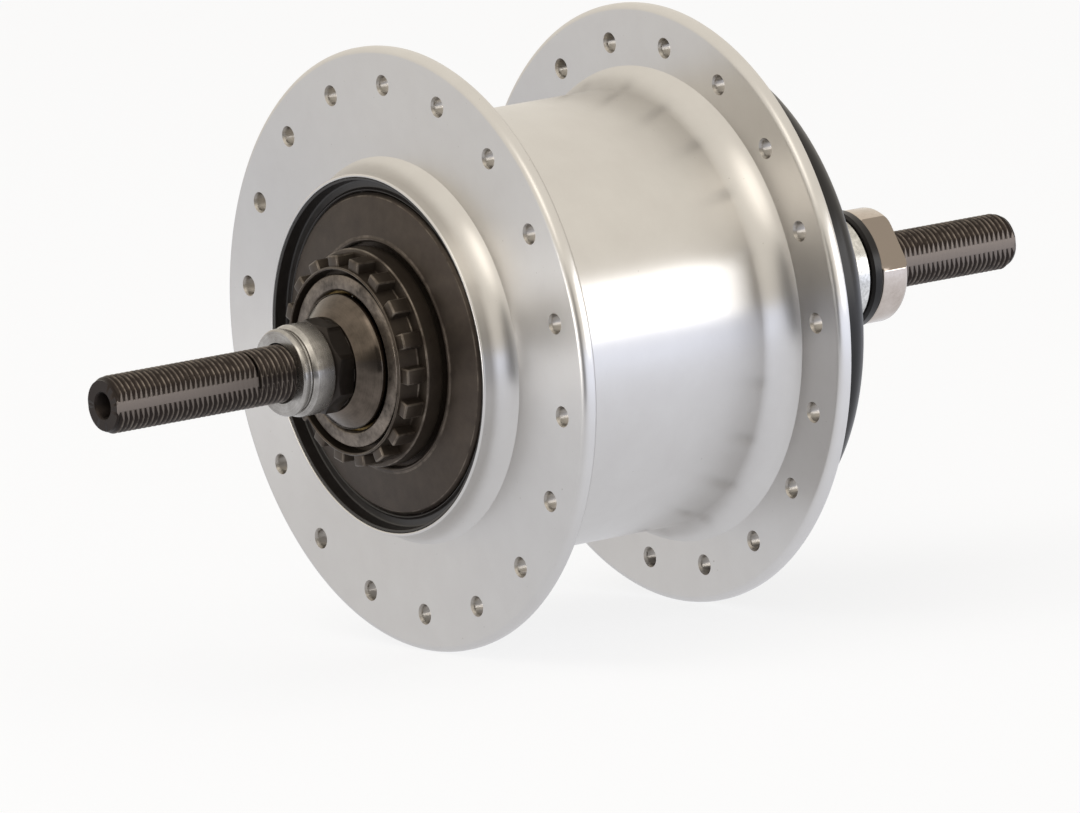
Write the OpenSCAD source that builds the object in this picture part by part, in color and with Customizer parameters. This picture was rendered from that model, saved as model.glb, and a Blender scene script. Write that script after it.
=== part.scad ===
// Internal gear hub for a bicycle's rear wheel, brake side toward +Y, drive side toward -Y.
// +X points forward and +Z up. The origin is the middle of the axle, on its centre line.
// The shown gear has the small sun held, so the carrier drives and the ring gear leads the shell.

/* [Axle] */
// Length of the axle over both ends
axle_len = 183; // [180:1:190]
// Outside diameter of the axle's threaded ends
axle_d = 9.5; // [9.2:0.1:9.9]
// Diameter of the thick middle that carries the sun gears
core_d = 12.8; // [12.6:0.1:13]
// Distance across the two flats at each end
flat_af = 8.2; // [8:0.1:8.6]
// Length of the flats on the brake side
left_flat_len = 28; // [20:1:30]
// Diameter of the hole in the brake-side end
end_bore_d = 4; // [3:0.1:5]
// Depth of that hole
end_bore_len = 14; // [8:1:20]
// Chamfer on the axle's ends
end_chamfer = 1.2; // [0.6:0.1:1.5]

/* [Shell] */
// Outside diameter of both spoke flanges
flange_d = 100; // [98:1:106]
// Thickness of a spoke flange
flange_t = 2.8; // [2.4:0.1:3.4]
// Distance between the flange centres
flange_pitch = 51.5; // [50:0.5:56]
// Place of the middle of the two flanges along the axle
flange_mid = 4.6; // [3:0.2:6]
// Distance of the spoke holes' centres in from the flange's edge
spoke_edge = 6.25; // [5:0.05:6.75]
// Spoke holes in each flange
spoke_holes = 18; // [16:1:18]
// Diameter of a spoke hole
spoke_d = 2.9; // [2.5:0.1:3.2]
// Wall of the shell's barrel
shell_wall = 3; // [2.6:0.1:3.6]
// Free space between the ring gear and the barrel
shell_gap = 0.7; // [0.5:0.1:1.2]
// Outside diameter of the lip round the brake-side opening
lip_d = 59.8; // [58:0.2:62]
// How far the lip stands out from the flange
lip_h = 5.45; // [4.5:0.05:6.5]
// Wall of the lip
lip_wall = 0.6; // [0.5:0.1:1.2]
// Depth of the recess inside the lip
recess = 3.4; // [3:0.1:3.8]
// Thickness of the shell's end wall behind the recess
end_wall = 3.5; // [3:0.1:4]
// How far the shoulder at the drive-side flange stands over the barrel
cove_h = 3.2; // [2:0.1:4]
// Length of the spigot that carries the drive-side cap
spigot_len = 4.5; // [4:0.1:5]

/* [Brake side] */
// Blocks round the brake ring
block_count = 18; // [16:1:20]
// Diameter over the blocks
block_d = 34.8; // [34:0.2:36]
// Height of a block over the ring
block_h = 1.8; // [1.4:0.1:2.2]
// Width of a block
block_w = 2.7; // [2.2:0.1:3]
// Length of a block along the axle
block_len = 3.5; // [3:0.1:4]
// How far the blocks' faces stand out past the lip
ring_proud = 6.2; // [5:0.1:7]
// Diameter of the collar behind the blocks
collar_d = 36.2; // [35.6:0.2:37]
// Outside diameter of the dark plate round the brake ring
plate_d = 53.2; // [50:0.2:54]
// Diameter of the round edge where the plate turns in to the ring
plate_lip_d = 38; // [37.6:0.2:40]
// Diameter of the polished dust shield on the cone
shield_d = 22.4; // [21.6:0.2:22.8]
// Distance across the eight flats of the cone's head
head_af = 14.6; // [14:0.2:15.6]
// Length of the cone's head
head_len = 3.6; // [3:0.1:4.5]
// Diameter of the brake-side locknut
left_nut_d = 15.2; // [14:0.2:16]
// Length of the brake-side locknut
left_nut_len = 6.1; // [5:0.1:7]

/* [Drive side] */
// Diameter of the black cap where it meets the flange
cap_d = 82.8; // [80:0.2:84]
// How far the cap's face stands out from the flange
cap_h = 10.85; // [10.4:0.05:11.5]
// Wall of the cap
cap_wall = 1.6; // [1.2:0.1:2]
// Diameter of the sprocket seat
seat_d = 34.8; // [34.4:0.1:35]
// Length of the sprocket seat up to the snap ring groove
seat_len = 8.6; // [7:0.1:9]
// Width of the three sprocket notches
notch_w = 4.4; // [3.5:0.1:5]
// Depth of a sprocket notch
notch_h = 1.4; // [1:0.1:1.6]
// Diameter of the plain sleeve that shows between the driver and the locknut
sleeve_d = 18.8; // [18.4:0.2:19]
// Width of the black shift ring
shift_w = 2.3; // [2:0.1:3]
// Diameter of the black shift ring
shift_d = 19.8; // [19:0.2:20.4]
// Diameter of the drive-side locknut
right_nut_d = 19.2; // [18.6:0.2:20]
// Distance across the two flats of that nut
right_nut_af = 16.5; // [16:0.1:17.5]
// Length of that nut
right_nut_len = 5.4; // [5:0.1:7]
// Angle through which the shift ring turns between second and fourth gear
shift_turn = 80; // [60:5:90]
// Wall of the shift sleeve
tube_wall = 0.5; // [0.4:0.05:0.6]

/* [Bearings] */
// Ball diameter of the brake-side bearing
left_ball_d = 4.76; // [4.5:0.02:4.8]
// Diameter of that bearing's ball circle
left_pitch_d = 19.8; // [19.6:0.1:20]
// Balls in that bearing
left_ball_n = 11; // [8:1:11]
// Ball diameter of the two drive-side bearings
right_ball_d = 3.97; // [3.8:0.01:4]
// Diameter of the ball circle between driver and cone
cone_pitch_d = 24; // [23.8:0.1:24.2]
// Balls between driver and cone
cone_ball_n = 15; // [12:1:15]
// Diameter of the ball circle between shell and driver
hub_pitch_d = 43; // [42.8:0.1:43.4]
// Balls between shell and driver
hub_ball_n = 24; // [18:1:24]

/* [Gears] */
// Tooth module
gear_m = 1; // [0.98:0.01:1.02]
// Teeth of the small sun gear, which is held in the shown gear
sun1_z = 20; // [20:4:20]
// Teeth of the middle sun gear
sun2_z = 24; // [24:4:24]
// Teeth of the large sun gear
sun3_z = 28; // [28:4:28]
// Teeth of a sun gear and of the planet step that it meshes with, together
pair_z = 40; // [40:4:40]
// Face width of the small sun gear and its planet step
face1 = 7.5; // [6.5:0.1:8]
// Face width of the other two steps
face2 = 6.5; // [6:0.1:7]
// Wall of the ring gear outside its teeth
ring_wall = 1.8; // [1.5:0.1:2.2]
// Thinning of each tooth flank, which sets the play in mesh
flank_play = 0.05; // [0.04:0.01:0.08]
// Diameter of a planet pin
pin_d = 5; // [4:0.1:5.4]
// Width of a roller clutch roller
roller_len = 5; // [4:0.1:5.2]
// Diameter of such a roller
roller_d = 4; // [3.6:0.1:4.2]
// Rollers in the clutch
roller_n = 10; // [8:1:10]

/* [Pawls] */
// Length of a sun gear's pawl from pivot to tip
pawl_len = 5; // [4.7:0.1:5.3]
// Length of a carrier pawl from pivot to tip
drive_pawl_len = 5; // [4.6:0.1:5.4]
// Width of a pawl along the axle
pawl_w = 3.2; // [2.6:0.1:3.4]
// Depth of the ratchet teeth
ratchet_h = 0.95; // [0.8:0.05:1.1]

/* [Hidden] */
// Running clearance, seat clearance and play of a ball in its race, all on the radius
run = 0.1;
seat = 0.02;
race = 0.05;

// Thread and core radii, and the radial build of the gears out to the barrel
axle_r = axle_d / 2;
core_r = core_d / 2;
tube_r0 = core_r + run;
tube_r1 = tube_r0 + tube_wall;
pair_r = gear_m * pair_z / 2;
planet1_z = pair_z - sun1_z;
ring_z = pair_z + planet1_z;
tooth_add = 0.8 * gear_m;
tooth_ded = gear_m;
ring_or = gear_m * ring_z / 2 + tooth_ded + ring_wall;
shell_br = ring_or + shell_gap;
body_r = shell_br + shell_wall;
cove_r = body_r + cove_h;
lip_br = lip_d / 2 - lip_wall;
spoke_pcd = flange_d - 2 * spoke_edge;

// Planes across the hub's axis, from the brake side to the drive side
near_face = flange_mid + (flange_pitch + flange_t) / 2;
far_face = flange_mid - (flange_pitch + flange_t) / 2;
lip_face = near_face + lip_h;
wall_face = lip_face - recess;
wall_back = wall_face - end_wall;
block_face = lip_face + ring_proud;
block_back = block_face - block_len;
collar_back = block_back - 3;
left_ball_y = block_face - 3.8;
head_back = left_ball_y + 7.3;
head_face = head_back + head_len;
left_nut_face = head_face + left_nut_len;
bore_end = wall_back - 3.1;
race_back = bore_end - roller_len - 0.8;
cam_back = race_back - 0.2;
web_t = 1.8;
web_back = cam_back - 0.2 - web_t;
step1_top = web_back - 6.2;
step2_top = step1_top - face1 - 0.5;
step3_top = step2_top - face2 - 0.5;
step3_end = step3_top - face2;
plate_in = step3_end - 0.5;
plate_out = plate_in - 3.5;
collar_top = step1_top + pawl_w + 1.8;
hub_ball_y = far_face - right_ball_d / 2 - 2.965;
hub_end = far_face - 2;
cap_face = far_face - cap_h;
spigot_r = cap_d / 2 - cap_wall - seat;
shoulder_in = cap_face - 2.8;
shoulder_out = shoulder_in - 2;
groove_in = shoulder_out - seat_len;
driver_end = groove_in - 2.2;
cone_ball_y = driver_end + 6.5;
cone_end = cone_ball_y - 14.7;
right_nut_back = cone_end - shift_w;
right_nut_face = right_nut_back - right_nut_len;

// Race radii and ball places
left_br = left_ball_d / 2;
right_br = right_ball_d / 2;
left_race = left_br + race;
right_race = right_br + race;
left_pr = left_pitch_d / 2;
cone_pr = cone_pitch_d / 2;
hub_pr = hub_pitch_d / 2;
cup_r = left_pr + left_race + 0.67;

// Ratchets and pawls: pivot circles, teeth, and the pawls' slopes when held down and when engaged
function slope(pivot, length, tip) = asin((tip * tip - pivot * pivot - length * length) / 2 / pivot / length);
sun_journal = 0.85;
sun_pivot = core_r - sun_journal - 0.4;
sun_ratchet_n = 12;
sun_ratchet_in = tube_r1 + 0.25;
sun_down = slope(sun_pivot, pawl_len, core_r - 0.1);
sun_up = slope(sun_pivot, pawl_len, sun_ratchet_in + ratchet_h - 0.2);
hub_r = 13;
drive_journal = 1;
drive_pivot = hub_r - drive_journal - 0.4;
drive_ratchet_n = 18;
drive_ratchet_in = hub_r + 0.3;
drive_down = slope(drive_pivot, drive_pawl_len, hub_r - 0.1);
drive_up = slope(drive_pivot, drive_pawl_len, drive_ratchet_in + ratchet_h - 0.15);
drive_pawl_y = hub_end + 1.2;
spring_top = hub_end - 2;
window_w = pawl_w + 0.6;
wire_r = 0.2;

// Colours
aluminium = "#d6d4d0";
steel = "#9a9896";
dark_steel = "#4a433d";
zinc = "#bdbdbd";
black = "#1c1b1c";
brass = "#8f8674";

// Turns a shape built round Z so that it lies along the hub's axis, Z to +Y.
module on_axle() {
    rotate([-90, 0, 0]) children();
}

// A piece turned on a lathe from an outline of [radius, place along the axle].
module turned(outline) {
    on_axle() rotate_extrude($fn = 96) polygon(outline);
}

// A straight bore or disc from one plane to another.
module round_bar(r, from, to) {
    translate([0, 0, from]) cylinder(r = r, h = to - from, $fn = 96);
}

// Points of a round stretch of an outline, from one angle to another.
function arc(r, y, rad, a0, a1, n = 6) =
    [for (i = [0:n]) let (a = a0 + (a1 - a0) * i / n) [r + rad * cos(a), y + rad * sin(a)]];

function polar(r, a) = [r * cos(a), r * sin(a)];

// Involute teeth: half the tooth's angle at a radius, then the whole outline.
function involute(a) = tan(a) * 180 / PI - a;
function half_tooth(z, r, thin) =
    90 / z - thin / (gear_m * z / 2) * 180 / PI + involute(20)
    - involute(acos(min(1, gear_m * z / 2 * cos(20) / r)));
function tooth_radii(z, tip, root) =
    let (base = max(root, gear_m * z / 2 * cos(20) + 0.01))
    concat(base > root + 0.05 ? [root] : [], [for (i = [0:4]) base + (tip - base) * i / 4]);
function gear_outline(z, tip, root, thin) =
    let (rr = tooth_radii(z, tip, root), n = len(rr) - 1)
    [for (k = [0:z - 1], j = [0:2 * n + 1])
        let (r = rr[j <= n ? j : 2 * n + 1 - j],
             h = half_tooth(z, max(r, gear_m * z / 2 * cos(20) + 0.01), thin))
        polar(r, 360 * k / z + (j <= n ? -h : h))];

// An outside gear with its first tooth or its first space on +X.
module gear(z, from, to, space_first = false) {
    translate([0, 0, from]) rotate(space_first ? 180 / z : 0)
        linear_extrude(to - from)
            polygon(gear_outline(z, gear_m * z / 2 + tooth_add, gear_m * z / 2 - tooth_ded, flank_play));
}

// Angle of a pawl's tip round the hub's axis at a given slope.
function tip_angle(pivot, length, a) = -atan2(length * cos(a), pivot + length * sin(a));

// The space inside a ratchet. Each tooth's face follows the path of a pawl's tip, so that the
// pawl bears square on it when up and can still be pressed down. A long ramp leads to the next.
module ratchet_space(n, inner, pivot, length, up, turn, from, to) {
    outer = inner + ratchet_h;
    high = tip_angle(pivot, length, up) - 0.8;
    low = tip_angle(pivot, length, slope(pivot, length, inner)) - 0.8;
    ramp = low + 360 / n - high;
    translate([0, 0, from]) linear_extrude(to - from)
        polygon([for (k = [0:n - 1]) let (a = 360 * k / n + turn)
            each [polar(inner, a + low), polar(outer, a + high), polar(outer, a + high + ramp * 0.15),
                polar(inner + ratchet_h * 0.5, a + high + ramp * 0.6)]]);
}

// A pawl at its slope: a round pivot, an arm and a square tip, all worked out from the pivot.
module pawl(pivot, journal, length, a, from) {
    translate([pivot, 0, from]) {
        cylinder(r = journal, h = pawl_w + 0.8, $fn = 48);
        rotate(a - 90) linear_extrude(pawl_w)
            polygon([[0, journal], [length, 0], [length - 0.25, -1.2], [0, -journal]]);
    }
}

// The pocket that a pawl swings in.
module pawl_pocket(pivot, journal, length, a, from) {
    translate([pivot, 0, from - run]) {
        cylinder(r = journal + run, h = pawl_w + 0.8 + 2 * run, $fn = 48);
        rotate(a - 90) linear_extrude(pawl_w + 2 * run)
            polygon([[0, -journal - 0.09], [length + 0.3, -1.35], [length + 0.3, 4], [0.1, 4], [0, 0]]);
    }
}

// A wire ring with a gap, which lies in a groove over the pawls' journals.
module wire_ring(r, y) {
    translate([0, 0, y]) rotate(20) rotate_extrude(angle = 320, $fn = 96)
        translate([r, 0]) circle(r = wire_r, $fn = 16);
}

module wire_groove(pivot, journal, outer, y) {
    translate([0, 0, y - wire_r - 0.05]) difference() {
        cylinder(r = outer + 1, h = 2 * wire_r + 0.1, $fn = 96);
        translate([0, 0, -1]) cylinder(r = pivot + journal, h = 3, $fn = 96);
    }
}

// A bearing's balls, and the ring that spaces them: a band on one side with a tab between each pair.
module balls(n, pitch, r, y) {
    on_axle() for (k = [0:n - 1])
        rotate(360 * k / n) translate([pitch, 0, y]) sphere(r = r, $fn = 32);
}

module retainer(n, pitch, r, y, side) {
    on_axle() difference() {
        union() {
            translate([0, 0, y + side * (r + 0.1) - 0.35]) difference() {
                cylinder(r = pitch + r * 0.8, h = 0.7, $fn = 96);
                translate([0, 0, -1]) cylinder(r = pitch + r * 0.45, h = 3, $fn = 96);
            }
            for (k = [0:n - 1])
                rotate(360 * (k + 0.5) / n)
                    translate([pitch + 0.1, -0.5, min(y + side * r * 0.3, y + side * (r + 0.1))])
                        cube([r * 0.8, 1, r * 0.7 + 0.1]);
        }
        for (k = [0:n - 1])
            rotate(360 * k / n) translate([pitch, 0, y]) sphere(r = r + 0.06, $fn = 32);
    }
}

// Fixed pieces on the axle ---------------------------------------------------

// Threaded ends with two flats, a thick core with a pocket for each sun pawl, and wire grooves.
// Two shallow reliefs part the brake-side thread: one under its locknut's face, one at the flats.
module axle() {
    end = axle_len / 2;
    nut_relief = [left_nut_face - 0.7, left_nut_face + 0.2];
    flat_relief = [end - left_flat_len - 0.15, end - left_flat_len + 0.15];
    deep = axle_r - 0.2;
    color(dark_steel) on_axle() difference() {
        rotate_extrude($fn = 96) polygon([
            [0, -end], [axle_r - end_chamfer / 2, -end], [axle_r, -end + end_chamfer],
            [axle_r, driver_end + 2], [core_r, driver_end + 3.6], [core_r, collar_top + 0.3],
            [axle_r, collar_top + 0.3],
            [axle_r, nut_relief[0]], [deep, nut_relief[0]], [deep, nut_relief[1]], [axle_r, nut_relief[1]],
            [axle_r, flat_relief[0]], [deep, flat_relief[0]], [deep, flat_relief[1]],
            [axle_r, flat_relief[1]], [axle_r, end - end_chamfer], [axle_r - end_chamfer / 2, end],
            [0, end]]);
        round_bar(end_bore_d / 2, axle_len / 2 - end_bore_len, axle_len / 2 + 1);
        for (side = [-1, 1]) {
            translate([side * (flat_af / 2 + 5), 0, axle_len / 2 - left_flat_len / 2 + 5])
                cube([10, 20, left_flat_len + 10], center = true);
            translate([side * (flat_af / 2 + 5), 0, (right_nut_face - axle_len / 2 - 10) / 2])
                cube([10, 20, right_nut_face + axle_len / 2 + 10], center = true);
        }
        for (top = [collar_top, step2_top, step3_top], turn = [0, 180])
            rotate(turn) pawl_pocket(sun_pivot, sun_journal, pawl_len, sun_down, top - pawl_w - 1);
        for (top = [collar_top, step2_top, step3_top])
            wire_groove(sun_pivot, sun_journal, core_r, top - 0.5);
    }
}

// Brake-side cone: ball race, neck and an eight-sided head with a bevelled face.
module left_cone() {
    bore = axle_r + seat;
    color(dark_steel) on_axle() difference() {
        union() {
            rotate_extrude($fn = 96) polygon(concat(
                [[bore, left_ball_y - 3.1], [left_pr - left_race, left_ball_y - 3.1]],
                arc(left_pr, left_ball_y, left_race, 180, 90),
                [[left_pr, left_ball_y + 3.4], [7.4, left_ball_y + 3.8], [7.4, head_back],
                [bore, head_back]]));
            intersection() {
                translate([0, 0, head_back]) rotate(12.5)
                    cylinder(d = head_af / cos(22.5), h = head_len, $fn = 8);
                rotate_extrude($fn = 96) polygon([[0, head_back], [head_af / 2 + 0.6, head_back],
                    [head_af / 2 + 0.6, head_face - 1.5], [head_af / 2 - 0.8, head_face], [0, head_face]]);
            }
        }
        round_bar(bore, left_ball_y - 5, head_face + 1);
    }
}

// Polished cone-shaped shield pressed on the cone's neck.
module left_shield() {
    edge = left_ball_y + 4.3;
    color("#6f6862") turned([[7.42, head_back - 1], [7.42, head_back - 0.02], [7.9, head_back - 0.02],
        [shield_d / 2 - 0.2, edge + 0.3], [shield_d / 2, edge], [shield_d / 2, edge - 0.9],
        [shield_d / 2 - 0.6, edge - 0.9], [shield_d / 2 - 0.8, edge - 0.2]]);
}

// Bright locknut with a groove behind its front ring.
module left_locknut() {
    r = left_nut_d / 2;
    b = axle_r + seat;
    color(zinc) turned([[b, head_face], [r - 0.5, head_face], [r, head_face + 0.5],
        [r, left_nut_face - 2.2], [r - 0.2, left_nut_face - 2], [r - 0.7, left_nut_face - 1.7],
        [r - 0.7, left_nut_face - 1.4], [r - 0.35, left_nut_face - 1.1], [r - 0.35, left_nut_face - 0.6],
        [r - 0.8, left_nut_face], [b + 0.25, left_nut_face], [b, left_nut_face - 0.3]]);
}

// Hexagon nut on the axle that keeps the gears from sliding toward the brake side.
module stop_nut() {
    color(steel) on_axle() difference() {
        translate([0, 0, collar_top + 1.4]) cylinder(d = 15 / cos(30), h = 4.2, $fn = 6);
        round_bar(axle_r + seat, collar_top, collar_top + 8);
    }
}

module thrust_washer() {
    color(steel) turned([[axle_r + seat, collar_top + 0.3], [core_r + 3.8, collar_top + 0.3],
        [core_r + 3.8, collar_top + 1.4], [axle_r + seat, collar_top + 1.4]]);
}

// Drive-side cone: race under the driver, plain sleeve outside, slots in its end for the shift tangs.
module right_cone() {
    bore = tube_r1 + 0.2;
    color(zinc) on_axle() difference() {
        rotate_extrude($fn = 96) polygon(concat(
            [[bore, cone_ball_y + 6], [cone_pr - right_race, cone_ball_y + 6]],
            arc(cone_pr, cone_ball_y, right_race, 180, 270),
            [[cone_pr, cone_ball_y - 3.2], [sleeve_d / 2, cone_ball_y - 4.1],
            [sleeve_d / 2, cone_end + 0.4], [sleeve_d / 2 - 0.4, cone_end], [axle_r + seat, cone_end],
            [axle_r + seat, cone_end + 4], [bore, cone_end + 4]]));
        for (turn = [0, 180])
            rotate(turn - 5) translate([0, 0, cone_end - 1])
                rotate_extrude(angle = shift_turn + 40, $fn = 96)
                    translate([tube_r0 - 0.1, 0]) square([tube_wall + 0.2, 5.5]);
    }
}

module right_spacer() {
    color(steel) turned([[axle_r + seat, right_nut_back], [core_r - 0.3, right_nut_back],
        [core_r - 0.3, cone_end], [axle_r + seat, cone_end]]);
}

// Chromed round locknut with two spanner flats and rounded edges.
module right_locknut() {
    r = right_nut_d / 2;
    b = axle_r + seat;
    color("#c9c4bd") on_axle() intersection() {
        rotate_extrude($fn = 96) polygon(concat(
            [[b, right_nut_back], [r - 0.4, right_nut_back], [r, right_nut_back - 0.4]],
            arc(r - 0.9, right_nut_face + 0.9, 0.9, 0, -90),
            [[b + 0.3, right_nut_face], [b, right_nut_face + 0.3]]));
        rotate(31.8) translate([-right_nut_af / 2, -20, right_nut_face - 1])
            cube([right_nut_af, 40, right_nut_len + 2]);
    }
}

// Coiled return spring of the shift sleeve: a round wire swept along a helix, its ends cut square.
module return_spring() {
    turns = 4;
    coil_wire = 0.5;
    coil_r = tube_r1 + coil_wire + 0.6;
    top = spring_top - 0.1;
    low = cone_ball_y + 6.02;
    rings = turns * 14;
    sides = 8;
    ring_pts = [for (i = [0:rings])
        let (a = 360 * turns * i / rings, y = top - coil_wire + (low - top + 2 * coil_wire) * i / rings)
        for (s = [0:sides - 1]) let (b = 360 * s / sides, q = coil_r + coil_wire * cos(b))
            [q * cos(a), q * sin(a), y + coil_wire * sin(b)]];
    skin = [for (i = [0:rings - 1], s = [0:sides - 1], t = [0, 1])
        let (a = i * sides + s, b = i * sides + (s + 1) % sides)
        t == 0 ? [a, b, b + sides] : [a, b + sides, a + sides]];
    ends = [for (s = [1:sides - 2]) [0, s + 1, s],
        for (s = [1:sides - 2]) rings * sides * [1, 1, 1] + [0, s, s + 1]];
    color(steel) on_axle() polyhedron(points = ring_pts, faces = concat(skin, ends));
}

// Sun gears: a plain bush on the drive side, a ratchet for the pawls on the brake side.
module sun(z, from, top) {
    on_axle() difference() {
        gear(z, from, top);
        round_bar(tube_r1 + run, from - 1, top + 1);
        sun_ratchet(12, top - pawl_w - 1.2, top + 1);
    }
}

module sun_ratchet(turn, from, to) {
    ratchet_space(sun_ratchet_n, sun_ratchet_in, sun_pivot, pawl_len, sun_up, turn, from, to);
}

// The held sun: its ratchet sits in a round collar beside the teeth.
module sun_small() {
    collar_r = gear_m * sun1_z / 2 + tooth_add - 0.2;
    color(brass) on_axle() difference() {
        union() {
            gear(sun1_z, step1_top - face1, step1_top);
            round_bar(collar_r, step1_top, collar_top);
        }
        round_bar(tube_r1 + run, step1_top - face1 - 1, collar_top + 1);
        sun_ratchet(0, collar_top - pawl_w - 1.2, collar_top + 1);
    }
}

module sun_middle() {
    color(brass) sun(sun2_z, step2_top - face2, step2_top);
}

module sun_large() {
    color(brass) sun(sun3_z, step3_top - face2, step3_top);
}

module pawl_springs() {
    color(steel) on_axle()
        for (top = [collar_top, step2_top, step3_top])
            wire_ring(sun_pivot + sun_journal + wire_r + 0.03, top - 0.5);
}

module sun_pawl(top, a, turn) {
    color(steel) on_axle() rotate(turn) pawl(sun_pivot, sun_journal, pawl_len, a, top - pawl_w - 1);
}

// Shift control -----------------------------------------------------------------

// Tube between the axle and the sun gears, with tangs outside and a collar for its spring. It holds
// the pawls down where it is whole and lets them up through its windows: in second gear only those
// of the small sun, in third those of the middle sun too, in fourth all of them.
module shift_sleeve() {
    color(steel) on_axle() difference() {
        rotate(15) rotate_extrude($fn = 96) polygon([
            [tube_r0, right_nut_back + 0.3], [tube_r1, right_nut_back + 0.3],
            [tube_r1, spring_top], [tube_r1 + 2.1, spring_top], [tube_r1 + 2.1, spring_top + 0.8],
            [tube_r1, spring_top + 0.8], [tube_r1, collar_top + 0.1], [tube_r0, collar_top + 0.1]]);
        for (turn = [0, 180], w = [[collar_top, 0], [step2_top, 0.5], [step3_top, 1]])
            let (far = tip_angle(sun_pivot, pawl_len, sun_down) - 3 - shift_turn,
                 near = -14 - shift_turn * w[1])
            rotate(turn + far) translate([0, 0, w[0] - window_w - 0.7])
                rotate_extrude(angle = near - far, $fn = 96)
                    translate([tube_r0 - 0.5, 0]) square([tube_wall + 1, window_w]);
        for (turn = [0, 180])
            rotate(turn + 30) translate([0, 0, right_nut_back - 1])
                rotate_extrude(angle = 150, $fn = 96)
                    translate([tube_r0 - 1, 0]) square([3, cone_end + 4.4 - right_nut_back + 1]);
    }
}

// Black ring that the gear cable turns, driven by the sleeve's two tangs.
module shift_ring() {
    r = shift_d / 2;
    color(black) on_axle() difference() {
        rotate_extrude($fn = 96) polygon([
            [tube_r0 - 0.2, right_nut_back + 0.1], [r - 0.4, right_nut_back + 0.1],
            [r, right_nut_back + 0.5], [r, cone_end - 0.5], [r - 0.4, cone_end - 0.1],
            [tube_r0 - 0.2, cone_end - 0.1]]);
        for (turn = [0, 180])
            rotate(turn - 1) translate([0, 0, right_nut_back - 1])
                rotate_extrude(angle = 32, $fn = 96)
                    translate([tube_r0 - 1, 0]) square([tube_r1 - tube_r0 + 1.02, shift_w + 3]);
    }
}

// Shell and what turns with it ----------------------------------------------------

// One lathe outline for the whole shell: lip, end wall, brake-side flange, barrel, shoulder,
// drive-side flange and spigot. The spoke holes are staggered by half a step.
module hub_shell() {
    fr = flange_d / 2;
    near_in = near_face - flange_t;
    far_in = far_face + flange_t;
    lip_r = lip_d / 2;
    ring_bore = collar_d / 2 - 0.9 + seat;
    color(aluminium) on_axle() difference() {
        rotate_extrude($fn = 144) polygon(concat(
            [[ring_bore, wall_back], [ring_bore, wall_face], [lip_br, wall_face],
            [lip_br, lip_face - 0.15], [lip_br + 0.12, lip_face]],
            arc(lip_r - 0.3, lip_face - 0.3, 0.3, 90, 0, 4),
            arc(lip_r + 2.1, near_face + 2.1, 2.1, 180, 270, 6),
            arc(fr - 1, near_face - 1, 1, 90, 0, 4), arc(fr - 1, near_in + 1, 1, 0, -90, 4),
            arc(body_r + 2, near_in - 2, 2, 90, 180, 6),
            arc(body_r + 5, far_in + 8.6, 5, 180, 217, 5),
            arc(cove_r - 5, far_in + 1.6, 5, 37, 4, 5),
            arc(cove_r + 1.2, far_in + 1.2, 1.2, 180, 270, 5),
            arc(fr - 1, far_in - 1, 1, 90, 0, 4), arc(fr - 1, far_face + 1, 1, 0, -90, 4),
            [[spigot_r, far_face], [spigot_r, far_face - spigot_len + 0.6],
            [spigot_r - 0.6, far_face - spigot_len], [shell_br, far_face - spigot_len],
            [shell_br, bore_end], [shell_br - 2.9, wall_back - 0.6], [shell_br - 3.5, wall_back]]));
        for (k = [0:spoke_holes - 1]) {
            rotate(360 * (k + 0.5) / spoke_holes) spoke_hole(near_face, near_in);
            rotate(360 * k / spoke_holes) spoke_hole(far_in, far_face);
        }
    }
}

// A spoke hole, countersunk on both faces.
module spoke_hole(top, low) {
    translate([spoke_pcd / 2, 0, 0]) {
        translate([0, 0, low - 1]) cylinder(d = spoke_d, h = top - low + 2, $fn = 32);
        translate([0, 0, top - 0.4]) cylinder(d1 = spoke_d, d2 = spoke_d + 1.4, h = 0.7, $fn = 32);
        translate([0, 0, low - 0.3]) cylinder(d1 = spoke_d + 1.4, d2 = spoke_d, h = 0.7, $fn = 32);
    }
}

// Dark pressed plate in the recess, turned in round the brake ring.
module brake_plate() {
    pr = plate_d / 2;
    lr = plate_lip_d / 2;
    rim = lip_face - 1.5;
    in_r = collar_d / 2 - 0.9 + seat;
    color(dark_steel) turned([[in_r, wall_face], [in_r, wall_face + 1.2], [lr - 0.4, wall_face + 1.2],
        [lr - 0.4, wall_face + 2.6], [lr, wall_face + 2.8], [lr + 0.5, wall_face + 2.6],
        [pr - 0.5, rim], [pr - 0.1, rim - 0.2], [pr, rim - 0.5], [pr, wall_face]]);
}

// Toothed ring that turns the brake: blocks round a thin rim, a collar and a boss in the end wall.
module brake_ring() {
    r = block_d / 2;
    floor_r = r - block_h;
    boss_r = collar_d / 2 - 0.9;
    color(dark_steel) on_axle() {
        rotate_extrude($fn = 96) polygon([[cup_r + seat, wall_back + 0.2], [cup_r + seat, block_face - 2.4],
            [floor_r - 0.5, block_face - 2.4], [floor_r - 0.5, block_face + 0.4],
            [floor_r - 0.3, block_face + 0.5], [floor_r, block_face + 0.3], [floor_r, block_back],
            [collar_d / 2 - 0.3, block_back], [collar_d / 2, block_back - 0.3], [collar_d / 2, collar_back],
            [boss_r, collar_back], [boss_r, wall_back + 0.2]]);
        for (k = [0:block_count - 1])
            rotate(360 * k / block_count + 15.1) translate([0, 0, block_back - 0.2])
                linear_extrude(block_len + 0.2)
                    polygon([[floor_r - 0.2, -block_w / 2], [r - 0.3, -block_w / 2], [r, -block_w / 2 + 0.3],
                        [r, block_w / 2 - 0.3], [r - 0.3, block_w / 2], [floor_r - 0.2, block_w / 2]]);
    }
}

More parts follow.
